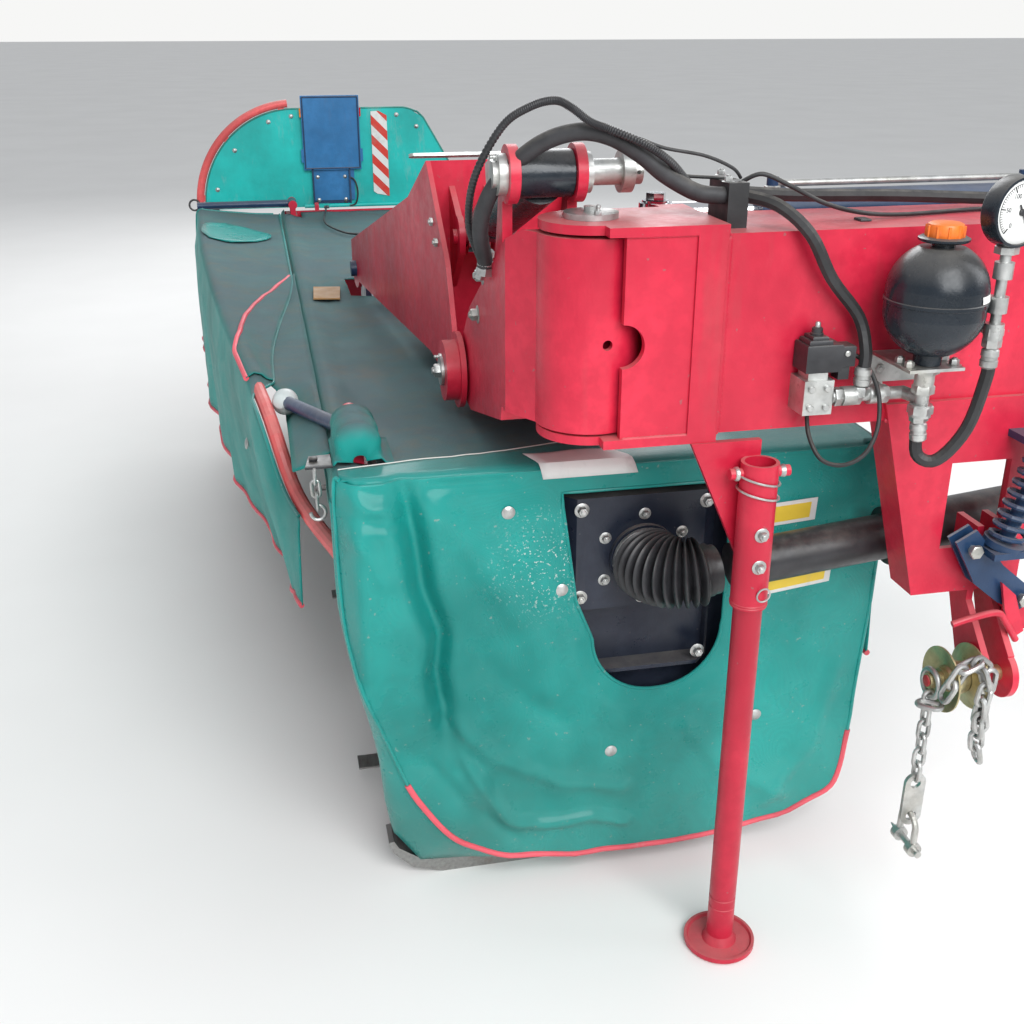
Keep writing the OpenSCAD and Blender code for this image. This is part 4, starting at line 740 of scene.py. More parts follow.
def end_cut(x, z):
    """Signed distance to the end cover's cut-out, negative inside it: a box over a round end."""
    left, right, box_middle, box_half = track(CUT_LEFT, z), 310, 686, 146
    round_x, round_z, round_radius = min(max(x, 176), 186), 536, 122
    middle, half = (left + right) / 2, (right - left) / 2
    dx, dz = abs(x - middle) - half, abs(z - box_middle) - box_half
    box = math.hypot(max(dx, 0), max(dz, 0)) + min(max(dx, dz), 0)
    return min(box, math.hypot(x - round_x, z - round_z) - round_radius)


def nearest_on(a, b, x, z):
    """The place on a straight stretch that is nearest to (x, z)."""
    (ax, az), (bx, bz) = a, b
    t = clamped(((x - ax) * (bx - ax) + (z - az) * (bz - az)) / ((bx - ax) ** 2 + (bz - az) ** 2))
    return ax + (bx - ax) * t, az + (bz - az) * t


def line_distance(points, x, z):
    return min(math.dist((x, z), nearest_on(a, b, x, z)) for a, b in zip(points, points[1:]))


def outline_distance(outline, x, z):
    """Nearest point on a closed outline and whether (x, z) is inside it."""
    sides = list(zip(outline, outline[1:] + outline[:1]))
    near = min((nearest_on(a, b, x, z) for a, b in sides), key=lambda p: math.dist((x, z), p))
    crossed = 0
    for (ax, az), (bx, bz) in sides:
        if (az > z) != (bz > z) and x < (bx - ax) * (z - az) / (bz - az) + ax:
            crossed += 1
    return near, crossed % 2 == 1


def end_y(x, z):
    """How far back the end cover's outer face lies, in millimetres from the fold pivot."""
    low = ease((RAIL_TOP - z) / 90)
    crown = 13 * max(0.0, 1 - ((x - 170) / 470) ** 2) * low
    away = x - track(VALLEY, z)
    reach = ease((z - 250) / 140)
    valley = 27 * hill(away, 0, 14) * reach * (0.35 + 0.65 * low)
    hump = 34 * ease(-away / 46) * ease((x + 412) / 40) * ease((z - 300) / 160) * (0.25 + 0.75 * low)
    shoulder = 9 * hill(away, 34, 26) * reach * low
    folds = sum(1.5 * deep * hill(line_distance(line, x, z), 0, wide * 0.8) for line, wide, deep in PLEATS)
    fan = math.atan2(z - 520, x + 40)
    gather = 4.2 * math.sin(fan * 21) * ease((400 - z) / 170) * hill(x, -150, 230)
    right = 4.5 * math.sin((x + z * 0.7) / 26) * ease((430 - z) / 260) * hill(x, 520, 120)
    soft = ripple(x, 300, z, 6.5, 7.0) + ripple(x, 900, z, 17.0, 2.6)
    fade = ease(end_cut(x, z) / 50) * 0.8 + 0.2
    back = 34 * ease((-352 - x) / 52) ** 2 * ease((z - 300) / 200)
    pocket = 7 * hill(z, 864, 7) * ease((x + 262) / 30) * ease((-70 - x) / 40)
    y = COVER_FACE - (crown + hump + shoulder + folds + gather + right + soft * low) * fade + valley + pocket
    return min(y, 116.0 if x > -150 else 132.0) + back


def on_end(x, z, inward=0.0):
    """A place on the end cover's outer face, or some millimetres inward of it."""
    return at(x, end_y(x, z) + inward, z)


def binding(name, path, body, radius, finish_name="piping"):
    """A bound edge: a soft tube laid along a hem."""
    shape = Shape()
    shape.tube(path, radius, 8)
    return shape.build(name, finish_name, body)


def rivet(shape, place, outward, radius=0.011):
    head = ((-0.002, 0.7), (0.0, 1.1), (0.0015, 1.1), (0.0032, 0.8), (0.0045, 0.35), (0.0047, 0.0))
    shape.lathe(place, outward, [(height, radius * share) for height, share in head], 18)


class MOWER_OT_end_cover(MowerOperator):
    """Sews the vertical cover at the inner end, with its cut-out, flap, rivets and labels"""

    bl_idname = "mower.end_cover"
    bl_label = "End cover"

    def pattern(self, outline):
        """Points (x, z) and faces of the cover, with its rim moved onto the outline and the cut-out."""
        step, left, floor, wide, tall = 11.0, -408.0, 46.0, 1040, 844
        index, spots, faces, uses = {}, [], [], {}
        for i in range(int(wide / step) + 1):
            for j in range(int(tall / step) + 1):
                x, z = left + (i + 0.5) * step, floor + (j + 0.5) * step
                if end_cut(x, z) <= 0 or not outline_distance(outline, x, z)[1]:
                    continue
                face = []
                for corner in ((i, j), (i + 1, j), (i + 1, j + 1), (i, j + 1)):
                    if corner not in index:
                        index[corner] = len(spots)
                        spots.append((left + corner[0] * step, floor + corner[1] * step))
                    face.append(index[corner])
                faces.append(face)
                for pair in zip(face, face[1:] + face[:1]):
                    edge = tuple(sorted(pair))
                    uses[edge] = uses.get(edge, 0) + 1
        for v in {v for edge, count in uses.items() if count == 1 for v in edge}:
            x, z = spots[v]
            d = end_cut(x, z)
            if abs(d) < step * 1.1:
                slope_x = (end_cut(x + 1, z) - end_cut(x - 1, z)) / 2
                slope_z = (end_cut(x, z + 1) - end_cut(x, z - 1)) / 2
                spots[v] = (x - slope_x * d, z - slope_z * d)
            else:
                spots[v] = outline_distance(outline, x, z)[0]
        return spots, faces

    def cut_edge(self):
        """Points round the cut-out, found by halving along rays from its middle."""
        x, z, count, cut = 165, 640, 90, []
        for a in [2 * math.pi * k / count for k in range(count)]:
            near, far = 0.0, 330.0
            for _ in range(22):
                half = (near + far) / 2
                inside = end_cut(x + half * math.cos(a), z + half * math.sin(a)) < 0
                near, far = (half, far) if inside else (near, half)
            cut.append((x + near * math.cos(a), z + near * math.sin(a)))
        return cut + cut[:1]

    def wrap_rows(self, outline):
        """Rows of the strip that wraps the frame's edge, from the cover's rim to the line behind it."""
        behind = [Vector((x, 0, z)) for x, z in WRAP_BACK]
        spans = [run_length(behind[:k + 1]) for k in range(len(behind))]
        rim = [p for p in outline if p[1] < 846 and p[0] < 60]
        runs = [sum(map(math.dist, rim[:k], rim[1:k + 1])) for k in range(len(rim))]
        rows = []
        for (x, z), run in zip(rim, runs):
            want = run / runs[-1] * spans[-1]
            k = max(i for i in range(len(behind) - 1) if spans[i] <= want)
            back = behind[k].lerp(behind[k + 1], min(1.0, (want - spans[k]) / (spans[k + 1] - spans[k])))
            row = []
            for t in range(8):
                s = min(1.0, t / 6)
                puff = 9 * math.sin(math.pi * s)
                y = end_y(x, z) + 2 + (162 - end_y(x, z)) * s + (16 if t == 7 else 0)
                row.append(at(x + (back.x - x) * s - puff, y, z + (back.z - z) * s - puff * 0.5))
            rows.append(row)
        return rows

    def flap_rows(self):
        """Rows of the flap that turns over the top edge onto the top cover."""
        rows = []
        for i in range(9):
            row = []
            for j in range(40):
                x = -392 + j * 984 / 39
                near = end_y(x, 878)
                far = 152 + 0.16 * (x + 400) + 6 * math.sin(x / 70)
                y = near + 3 + (far - near) * i / 8
                lift = 3.2 + 1.6 * abs(ripple(x, y, 0, 14.0, 1.6)) + (1.2 if i == 8 else 0)
                row.append(at(x, y, RAIL_TOP + 0.4 + lift - 9 * max(0.0, 1 - i / 2) ** 2))
            rows.append(row)
        return rows

    def execute(self, context):
        line = curve_through([Vector((x, 0, z)) for x, z in END_OUTLINE], 6)
        outline = [(p.x, p.z) for p in line]
        spots, faces = self.pattern(outline)
        shape = Shape()
        shape.add([on_end(x, z) for x, z in spots], faces)
        cover = shape.build("end_cover", "canvas", None, smooth=0)
        cover.data.shade_smooth()
        thicken(cover, context.scene.mower_canvas.thickness)
        fine = cover.modifiers.new("soften", "SUBSURF")
        fine.levels = fine.render_levels = 1
        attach(cover, "mower")
        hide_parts("inner_canvas")

        def hem(name, points, radius, finish_name="canvas", inward=1.5):
            return binding(name, [on_end(x, z, inward) for x, z in points], "mower", radius, finish_name)

        lower = [(x, z) for x, z in outline if z < 275 and x > -306]
        hems = [hem("end_cover_hem", lower, 0.0065, "piping"),
                hem("end_cut_hem", self.cut_edge(), 0.0034, inward=1.2)]
        for side in (-1, 1):
            hems.append(hem("end_side_hem", [(x, z) for x, z in outline if z > 250 and x * side > 0], 0.004))
        rows = self.wrap_rows(outline)
        wrap = cloth_piece("end_wrap", rows, "mower")
        # Painted shade: a dark frame just behind the cover, round the cut-out, that stands in for the shadow
        # seen through the opening around the gearbox guard
        shade_plate = Shape()
        for x0, x1, z0, z1 in ((-30, 335, 374, 449.5), (298.5, 335, 449.5, 812.5), (-30, -8.5, 449.5, 812.5),
                               (-30, 335, 812.5, 858)):
            shade_plate.pane(158, (x0, z0), (x1, z1), 0.005)
        shade_plate.build("cut_out_painted_shade_plate", "dark_navy", "mower")
        rows = self.flap_rows()
        flap = cloth_piece("end_flap", rows, "mower", thickness=0.002)
        seam = [p + Vector((0, 0.001, 0.0004)) for p in rows[-1]]
        edge = binding("end_flap_edge", seam, "mower", 0.0013, "stitch")
        studs = Shape()
        for x, z in ((-106, 806), (-8, 646), (95, 289), (390, 332)):
            rivet(studs, on_end(x, z, -0.4), FRONT)
        studs.build("end_cover_rivets", "zinc", "mower")
        for name, tone, proud, labels in (
            ("yellow_labels", "yellow", 1.4, ([(338, 742), (458, 752), (460, 782), (340, 774)],
                                              [(350, 598), (504, 618), (506, 646), (352, 630)])),
            ("label_margins", "white", 0.7, ([(330, 735), (470, 746), (472, 790), (332, 781)],
                                             [(342, 590), (516, 612), (518, 654), (344, 638)])),
        ):
            shape = Shape()
            for corners in labels:
                dense = [(x + (nx - x) * t / 4, z + (nz - z) * t / 4)
                         for (x, z), (nx, nz) in zip(corners, corners[1:] + corners[:1]) for t in range(4)]
                y = min(end_y(x, z) for x, z in dense) - proud
                shape.slab(upright(y, *dense)[::-1], 0.0006, FRONT)
            shape.build(name, tone, "mower")
        return {"FINISHED"}


class MOWER_OT_top_cover(MowerOperator):
    """Lays the top cover over the rails, with its drop behind, its rivets and a blank sheet of paper"""

    bl_idname = "mower.top_cover"
    bl_label = "Top cover"

    def profile(self):
        """Points (x, z) across the cover: the front lip, the flat top and the drop behind."""
        flat_start, flat_wide, drop_top = -386, 982, 850
        points = [(COVER_FRONT, 790 + 15 * i) for i in range(5)]
        points += [(-399.5, 862), (-395.5, 872), (-386.5, 879.5)]
        points += [(flat_start + flat_wide * i / 44, RAIL_TOP) for i in range(1, 45)]
        points += [(609, 875), (617.5, 863), (COVER_BACK, drop_top)]
        return points + [(COVER_BACK - 5 * i / 14, drop_top - 30 * i) for i in range(1, 15)]

    def place(self, x, z, y, canvas):
        """One point of the cloth, sagged between the rails and creased."""
        lip, drop_top = 872, 850
        span = clamped((x + 362) / 30) * clamped((570 - x) / 30)
        clear = 1.0 - hill(y, 1685, 170) if abs(x) < 300 else 1.0
        if z > lip:
            dip = canvas.sag * 1000 * span * clear * (0.75 + 0.25 * math.sin(y / 210 + x / 400))
            broad, small = canvas.ripple * 2400, canvas.ripple * 900
            crease = ripple(x, y, 0, 5.0, broad) + ripple(x, y, 2000, 15.0, small)
            crease += 2.6 * math.sin((y + 0.45 * x) / 58) * hill(y, 620, 340) * span
            return at(x, y, z - max(0.0, dip + crease * (0.15 + 0.85 * span)) + 1.5 * (1 - span))
        if x > 600:
            hang = max(0.0, (drop_top - z) / 420)
            wave = 9 * hang * math.sin(y / 92 + 0.8 * math.sin(y / 300))
            return at(x + max(0.0, 6 + wave + ripple(y, z, 4000, 7.0, 5) * hang) * hang, y, z)
        hang = max(0.0, (862 - z) / 72)
        return at(x - abs(ripple(y, z, 9000, 6.0, 7)) * hang, y, z)

    def paper(self):
        """The blank sheet that lies on the top edge of the end cover."""
        near, far = (Vector((-44, 104)), Vector((128, 104))), (Vector((-67, 166)), Vector((92, 168)))
        count, turn, points = 9, 0.3, []
        for t in [s / (count - 1) for s in range(count)]:
            left, right = near[0].lerp(far[0], t), near[1].lerp(far[1], t)
            for k in range(count):
                x, y = left.lerp(right, k / (count - 1))
                z = 889 + 1.2 * math.sin(x / 18)
                if t < turn:
                    y, z = end_y(x, 866) - 5 + 14 * t / turn, 862 + 27 * math.sin(t / turn * math.pi / 2)
                points.append(at(x, y, z))
        sheet = Shape()
        sheet.add(points, net(count, count))
        made = sheet.build("blank_paper_sheet", "white", None)
        thicken(made, 0.0006, "paper_thickness")
        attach(made, "mower")

    def execute(self, context):
        profile, count, first, last = self.profile(), 89, 119.5, 3204
        bracket, opening = (1565.0, 1805.0), 250
        slot_left, slot_right, hinge_slot, far_slot = -382, -330, (208.0, 400.0), 3079.0
        ys = [first + (last - first) * i / (count - 1) for i in range(count)]
        for want in (*bracket, *hinge_slot, far_slot):
            ys[min(range(count), key=lambda k: abs(ys[k] - want))] = want
        grid = []
        for y in ys:
            row, fade = [], max(0.0, 1 - (y - 119) / 90)
            for x, z in profile:
                pushed = max(0.0, end_y(x, 870) - 112.5) * fade
                row.append(self.place(x, z, y + pushed, context.scene.mower_canvas))
            grid.append(row)

        def keep(i, j):
            (xa, za), (xb, zb) = profile[j:j + 2]
            x, y, z = (xa + xb) / 2, (ys[i] + ys[i + 1]) / 2, (za + zb) / 2
            if z < 872:
                return True
            if abs(x) < opening and bracket[0] < y < bracket[1]:
                return False
            in_slot = hinge_slot[0] < y < hinge_slot[1] or y > far_slot
            return not (in_slot and slot_left < x < slot_right)

        cover = cloth_piece("top_cover", grid, "mower", keep, finish_name="canvas_top")
        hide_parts("hood_canvas")
        rear = binding("rear_hem", [row[-1] for row in grid], "mower", 0.006)
        front = binding("front_lip_hem", [row[0] for row in grid], "mower", 0.004, "canvas")
        grommets = Shape()
        j = min(range(len(profile)), key=lambda n: abs(profile[n][0] - 560) if profile[n][1] > 872 else 1e9)
        for y in [240 + 286 * k for k in range(11)]:
            i = min(range(count), key=lambda n: abs(ys[n] - y))
            rivet(grommets, grid[i][j] + UP * 0.0002, UP, 0.009)
        grommets.build("top_cover_rivets", "zinc", "mower")
        self.paper()
        return {"FINISHED"}


class MOWER_OT_front_curtain(MowerOperator):
    """Drapes the front curtain over its bent tube, with folds, a bound hem and the pieces beside it"""

    bl_idname = "mower.front_curtain"
    bl_label = "Front curtain"

    def curtain_row(self, p, depth):
        """One row across the curtain at a place on the bent tube: the top strip, the tube and the drop."""
        y, row = p.y, []
        near, wide = ease((1870 - y) / 1000), ease((y - 660) / 90)
        inner = -406 - 80 * near
        rim = Vector((p.x - GUARD_TUBE_RADIUS, 0, p.z + 3))
        for s in [t / 12 for t in range(12)]:
            x = inner + (p.x + 11 - inner) * s
            z = 876 + (p.z + 18 - 876) * s
            dip = math.sin(math.pi * s) * (4 + 6 * (0.5 + 0.5 * math.sin(y / 130))) * (1 - 0.6 * near)
            crease = ripple(x, y, 5000, 9.0, 5) * math.sin(math.pi * s)
            row.append(rim.lerp(Vector((x, 0, z - max(0.0, dip + crease) + 0.5)), wide))
        for a in [math.radians(58 + 30.5 * t) for t in range(5)]:
            x, z = p.x + GUARD_TUBE_RADIUS * math.cos(a), p.z + GUARD_TUBE_RADIUS * math.sin(a)
            row.append(rim.lerp(Vector((x, 0, z)), wide))
        row = [at(q.x, y, q.z) for q in row]
        short = ease((735 - y) / 350)
        bottom = 430 + 85 * short
        for s in [t / 16 for t in range(1, 17)]:
            z = p.z - (p.z - bottom) * s
            sway = (0.35 + 0.65 * s) * (1 - 0.7 * short)
            wave = math.sin(y / 84 + 1.3 * math.sin(y / 260)) + 0.45 * math.sin(y / 37 + z / 190)
            fold = depth * sway * wave
            crease = ripple(y, z, 7000, 8.0, 6) * s
            out = max(-3.0, fold + crease + depth * 0.9) * min(1.0, s * 5) * (1 - 0.8 * short)
            tuck = 92 * s ** 1.5 * math.exp(-(max(0.0, y - 700) / 620)) * (1 - short)
            swing = 16 * math.sin(y / 84) * s * s * (1 - short)
            row.append(at(p.x - 22 - 5 * s - out + tuck, y + swing, z))
        return row

    def overlay(self, grid, name, stretch, reach, flat, finish_name, bound=False):
        """A second layer of cloth on the top strip; reach gives its two borders along the strip."""
        rows = [row for row in grid if stretch[0] < (row[0].y - PIVOT.y) * 1000 < stretch[1]]
        rows.sort(key=lambda row: row[0].y)
        layer = []
        for n, row in enumerate(rows):
            start, end = reach(n / (len(rows) - 1))
            points = []
            for k in range(9):
                s = min(15.9, max(0.0, start + (end - start) * k / 8))
                lift = 0.0048 + 0.0014 * math.sin(k * 0.9 + row[0].y * 31)
                spot = row[int(s)].lerp(row[int(s) + 1], s - int(s))
                points.append(spot + Vector((-0.3 * lift if s > 13 else 0, 0, lift)))
            layer.append(points)
        made = cloth_piece(name, layer, "front_guard", None, 0.0025, finish_name)
        hems = [binding(name + "_hem", [row[-1] for row in layer], "front_guard", 0.0062)] if bound else []

    def apron(self):
        """The strip that hangs from the top cover's front edge."""
        rows, start, stretch = [], 268, 1612
        for k in range(61):
            y = start + stretch * k / 60
            rise = ease((y - 250) / 40)
            reach = 6 + (62 * rise + 32 * ease((y - 680) / 80)) * ease((1890 - y) / 900)
            dent = 33 * rise * ease((740 - y) / 70) + 14 * hill(y, 636, 45)
            row = []
            for t in range(7):
                fall = (9 + dent) * (t / 6) ** 1.2 - 1.2 * math.sin(y / 60 + t)
                row.append(at(-397 - reach * t / 6, y, RAIL_TOP + 0.6 - fall))
            rows.append(row)
        made = cloth_piece("hood_front_apron", rows, "mower", finish_name="canvas_top")

    def drape(self):
        """The bulge of cloth over the guard's near hinge."""
        rows, hinge_x, bottom, start, long = [], -352, RAIL_TOP + 2, 184, 136
        for k in range(13):
            y = start + long * k / 12
            grow = (0.30, 0.86)[k] if k < 2 else 1 + 0.05 * math.sin(k * 1.1)
            ring = [(hinge_x + 37 * grow * math.cos(a), bottom + (32 + 34 * math.sin(a)) * grow)
                    for a in map(math.radians, range(-15, 196, 21))]
            points = [(-292, 881.8), (-306, 883), (-314, 890), *ring, (-390, 890), (-396, 884)]
            rows.append([at(x, y + 3 * math.sin(x / 9), z + ripple(x, y, z, 30.0, 4.0)) for x, z in points])
        made = cloth_piece("hinge_drape", rows, "mower", finish_name="canvas_top")

    def execute(self, context):
        depth = context.scene.mower_canvas.fold_depth * 1000
        line = [p * 1000 for p in curve_through([Vector(p) / 1000 for p in GUARD_ROUTE], 24)]
        grid = [self.curtain_row(p, depth) for p in line if 385 < p.y < 3112]
        body = "front_guard"
        cover = cloth_piece("front_curtain_cloth", grid, body, finish_name="canvas_top")
        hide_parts("front_curtain")
        near, far = min(grid, key=lambda row: row[0].y), max(grid, key=lambda row: row[0].y)
        hems = [
            binding("front_curtain_hem", [row[-1] for row in grid], body, 0.0055),
            binding("front_curtain_edge", near[1:], body, 0.005, "canvas"),
            binding("front_curtain_far_edge", far[1:], body, 0.0045, "canvas"),
            binding("front_curtain_inner_edge", [row[0] for row in grid], body, 0.0035, "canvas"),
        ]

        def fold_borders(t):
            return 0.0, 14.6 * min(1.0, (1 - t) * 1.29) + 0.4

        def corner_borders(t):
            bow = math.sin(math.pi * t)
            return 8.5 - 7.5 * bow ** 0.6 * (1.1 - 0.5 * t), 9.2 + 4.6 * bow ** 0.5

        self.overlay(grid, "curtain_fold", (722, 1880), fold_borders, (1.16, 0.20), "canvas_top", True)
        self.overlay(grid, "curtain_corner_fold", (2400, 2830), corner_borders, (0.44, 0.17), "canvas_clean")
        stud = Shape()
        row = min(grid, key=lambda row: abs(row[0].y - at(0, 850, 0).y))
        rivet(stud, row[22] + Vector((-0.003, 0, 0)), Vector((-1, -0.2, 0.2)), 0.012)
        stud.build("curtain_stud", "zinc", body)
        self.apron()
        self.drape()
        notch = Shape()
        notch.slab(level(874, (-446, 204), (-398, 204), (-398, 262), (-438, 258)), 0.006, UP)
        notch.lathe(at(-430, 232, 880), UP, ((0, 0.007), (0.002, 0.008), (0.005, 0.008), (0.007, 0.005)), 16)
        notch.build("corner_plate", "plastic", "mower")
        hook = Shape()
        hook.chain(0.024, 0.006, (-430, 210, 872), (-430, 208, 846), (-428, 207, 799))
        turns = map(math.radians, range(0, 285, 15))
        hook.tube([at(-428 + 13 * math.sin(a), 206, 792 + 14 * math.cos(a)) for a in turns], 0.0032, 8)
        hook.build("corner_hook", "zinc", "mower")
        return {"FINISHED"}


class MOWER_OT_bellows(MowerOperator):
    """Moulds the ribbed bellows between the gearbox guard and the drive shaft"""

    bl_idname = "mower.bellows"
    bl_label = "Drive bellows"

    def execute(self, context):
        pleats, fine, turn = 11, 10, 75.0
        total = pleats * fine
        x0, face, z0 = GEARBOX_GUARD
        path = [at(x0, face - 10.5 - 4 * k, z0) for k in range(5)]
        radii = [0.0585, 0.0600, 0.0600, 0.0585, 0.0585]
        for k in range(total + 1):
            share = k / total
            a = math.radians(180 + 90 * share)
            x, y = x0 + turn * (1 + math.cos(a)), 95 + turn * math.sin(a)
            path.append(at(x, y + 3 * share ** 2, z0 + 7.4 * share ** 2))
            wave = 0.5 - 0.5 * math.cos(2 * math.pi * (k % fine) / fine)
            radii.append(0.0465 + 0.0015 * (1 - share) + (0.0205 - 0.0048 * share) * wave ** 0.7)
        for _ in range(4):
            path.append(path[-1] + Vector((0.0035, 0.0001, 0.0003)))
            radii.append(0.0478)
        shape = Shape()
        shape.tube(path, lambda i: radii[i], 44)
        bellows = shape.build("drive_bellows_rubber", "bellows", None, 60)
        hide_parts("drive_bellows")
        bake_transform(bellows)
        band = Shape()
        strap = ((-0.005, 0.0605), (-0.004, 0.0618), (0.004, 0.0618), (0.005, 0.0605))
        band.lathe(at(x0, 104, z0), FRONT, strap, 44)
        band.block((206, 98, 683), (222, 106, 697))
        band.build("bellows_clamp_band", "zinc", "mower")
        plate = Shape()
        plate.bolts(FRONT, 0.016, *((x, face, z) for x in (x0 - 118, x0 + 118) for z in (478, 616, 790)))
        for a in [math.radians(30 + 60 * k) for k in range(6)]:
            plate.bolt(at(x0 + 84 * math.cos(a), face, z0 + 84 * math.sin(a)), FRONT, 0.013)
        plate.build("gearbox_guard_bolts", "zinc", "mower")
        return {"FINISHED"}


def free_cable(name, line, body, diameter):
    """An electric cable that runs free between its ends."""
    shape = Shape()
    shape.tube(line, diameter / 2, 8)
    made = shape.build(name, "rubber", body, 60)


class MOWER_OT_hoses(MowerOperator):
    """Runs the arm's hose and ribbed conduit, the ferrules and the loose cable loops"""

    bl_idname = "mower.hoses"
    bl_label = "Hoses and cables"

    def ferrule(self, shape, place, run, radius):
        run = run.normalized()
        collar = ((0, 0.95), (0.003, 1.3), (0.012, 1.34), (0.013, 1.2), (0.018, 1.2), (0.019, 1.34),
                  (0.028, 1.3), (0.031, 1.0))
        shape.lathe(place, run, [(height, radius * share) for height, share in collar], 22)
        shape.hexagon(place - run * 0.013, run, radius * 2.5, 0.013)

    def execute(self, context):
        sizes = context.scene.mower_hoses
        r = sizes.hose / 2
        sleeve = curve_at(
            14, (-130.3, 175, 1220), (-131, 170, 1234), (-146, 128, 1290), (-139, 86, 1346), (-112, 50, 1392),
            (-68, 22, 1430), (-22, -6, 1446), (22, -20, 1439), (67, -24, 1414), (106, -28, 1384),
            (150, -36, 1360), (180, -40, 1354.5), (194, -40, 1354))
        ribbed = curve_at(
            40, (-130.3, 202, 1208), (-131, 198, 1222), (-158, 160, 1290), (-160, 96, 1372), (-128, 42, 1450),
            (-94, 8, 1480), (-62, -14, 1490), (-40, -24, 1481), (-14, -34, 1462), (12, -40, 1452),
            (66, -44, 1430), (108, -40, 1404), (150, -14, 1368), (178, -5, 1355.5), (194, -5, 1354))
        wires = (
            curve_at(12, (28, -30, 1444), (58, -36, 1438), (98, -40, 1424), (160, -42, 1412),
                     (204, -42, 1394), (222, -34, 1378)),
            curve_at(12, (-96, 62, 1412), (-54, 22, 1440), (-8, 4, 1437), (34, -2, 1424), (80, -6, 1400),
                     (130, -8, 1382), (194, -12, 1376), (222, -14, 1372)),
        )
        for name, line, radius, sides, finish_name, smooth in (
            ("arm_hose", sleeve, r * 1.3, 18, "sleeve", 60),
            ("arm_conduit", ribbed, lambda i: r * (0.62 if i % 3 else 0.48), 14, "plastic", 70),
            ("arm_wire_1", wires[0], 0.0026, 8, "rubber", 60),
            ("arm_wire_2", wires[1], 0.0026, 8, "rubber", 60),
        ):
            shape = Shape()
            shape.tube(line, radius, sides)
            made = shape.build(name, finish_name, None, smooth)
            if name == "arm_hose":
                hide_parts("arm_hoses")
            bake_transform(made)
        ends = Shape()
        for line, radius in ((sleeve, r), (ribbed, r * 0.6)):
            self.ferrule(ends, line[0] + (line[0] - line[8]).normalized() * 0.002, line[8] - line[0], radius)
        ends.build("arm_hose_ferrules", "zinc", "arm")
        ends = Shape()
        for a, b in (((398, -146, 1076), (398, -146, 1100)), ((560, -220, 1147), (560, -220, 1120)),
                     ((479, -186, 1026), (483, -186, 990))):
            self.ferrule(ends, at(*a), at(*b) - at(*a), r)
        ends.build("beam_hose_ferrules", "zinc", "headstock")
        solenoid = curve_at(
            10, (383, -126, 1122), (396, -132, 1118), (410, -150, 1098), (418, -168, 1062), (412, -184, 1016),
            (392, -190, 980), (362, -182, 962), (336, -160, 966), (326, -132, 996), (330, -108, 1030))
        sensor = curve_at(
            10, (226, -30, 1372), (252, -44, 1384), (296, -52, 1366), (352, -52, 1340), (420, -40, 1322),
            (500, -20, 1313.5), (640, 10, 1312.5), (760, 20, 1312.5), (880, 12, 1313))
        free_cable("solenoid_cable", solenoid, "headstock", sizes.cable)
        free_cable("sensor_cable", sensor, "headstock", sizes.cable)
        clips = Shape()
        for x, y in ((430, -44), (700, 0)):
            clips.block((x - 9, y, BEAM_TOP), (x + 9, y + 24, BEAM_TOP + 3.5))
        clips.build("cable_clips", "plastic", "headstock")
        return {"FINISHED"}


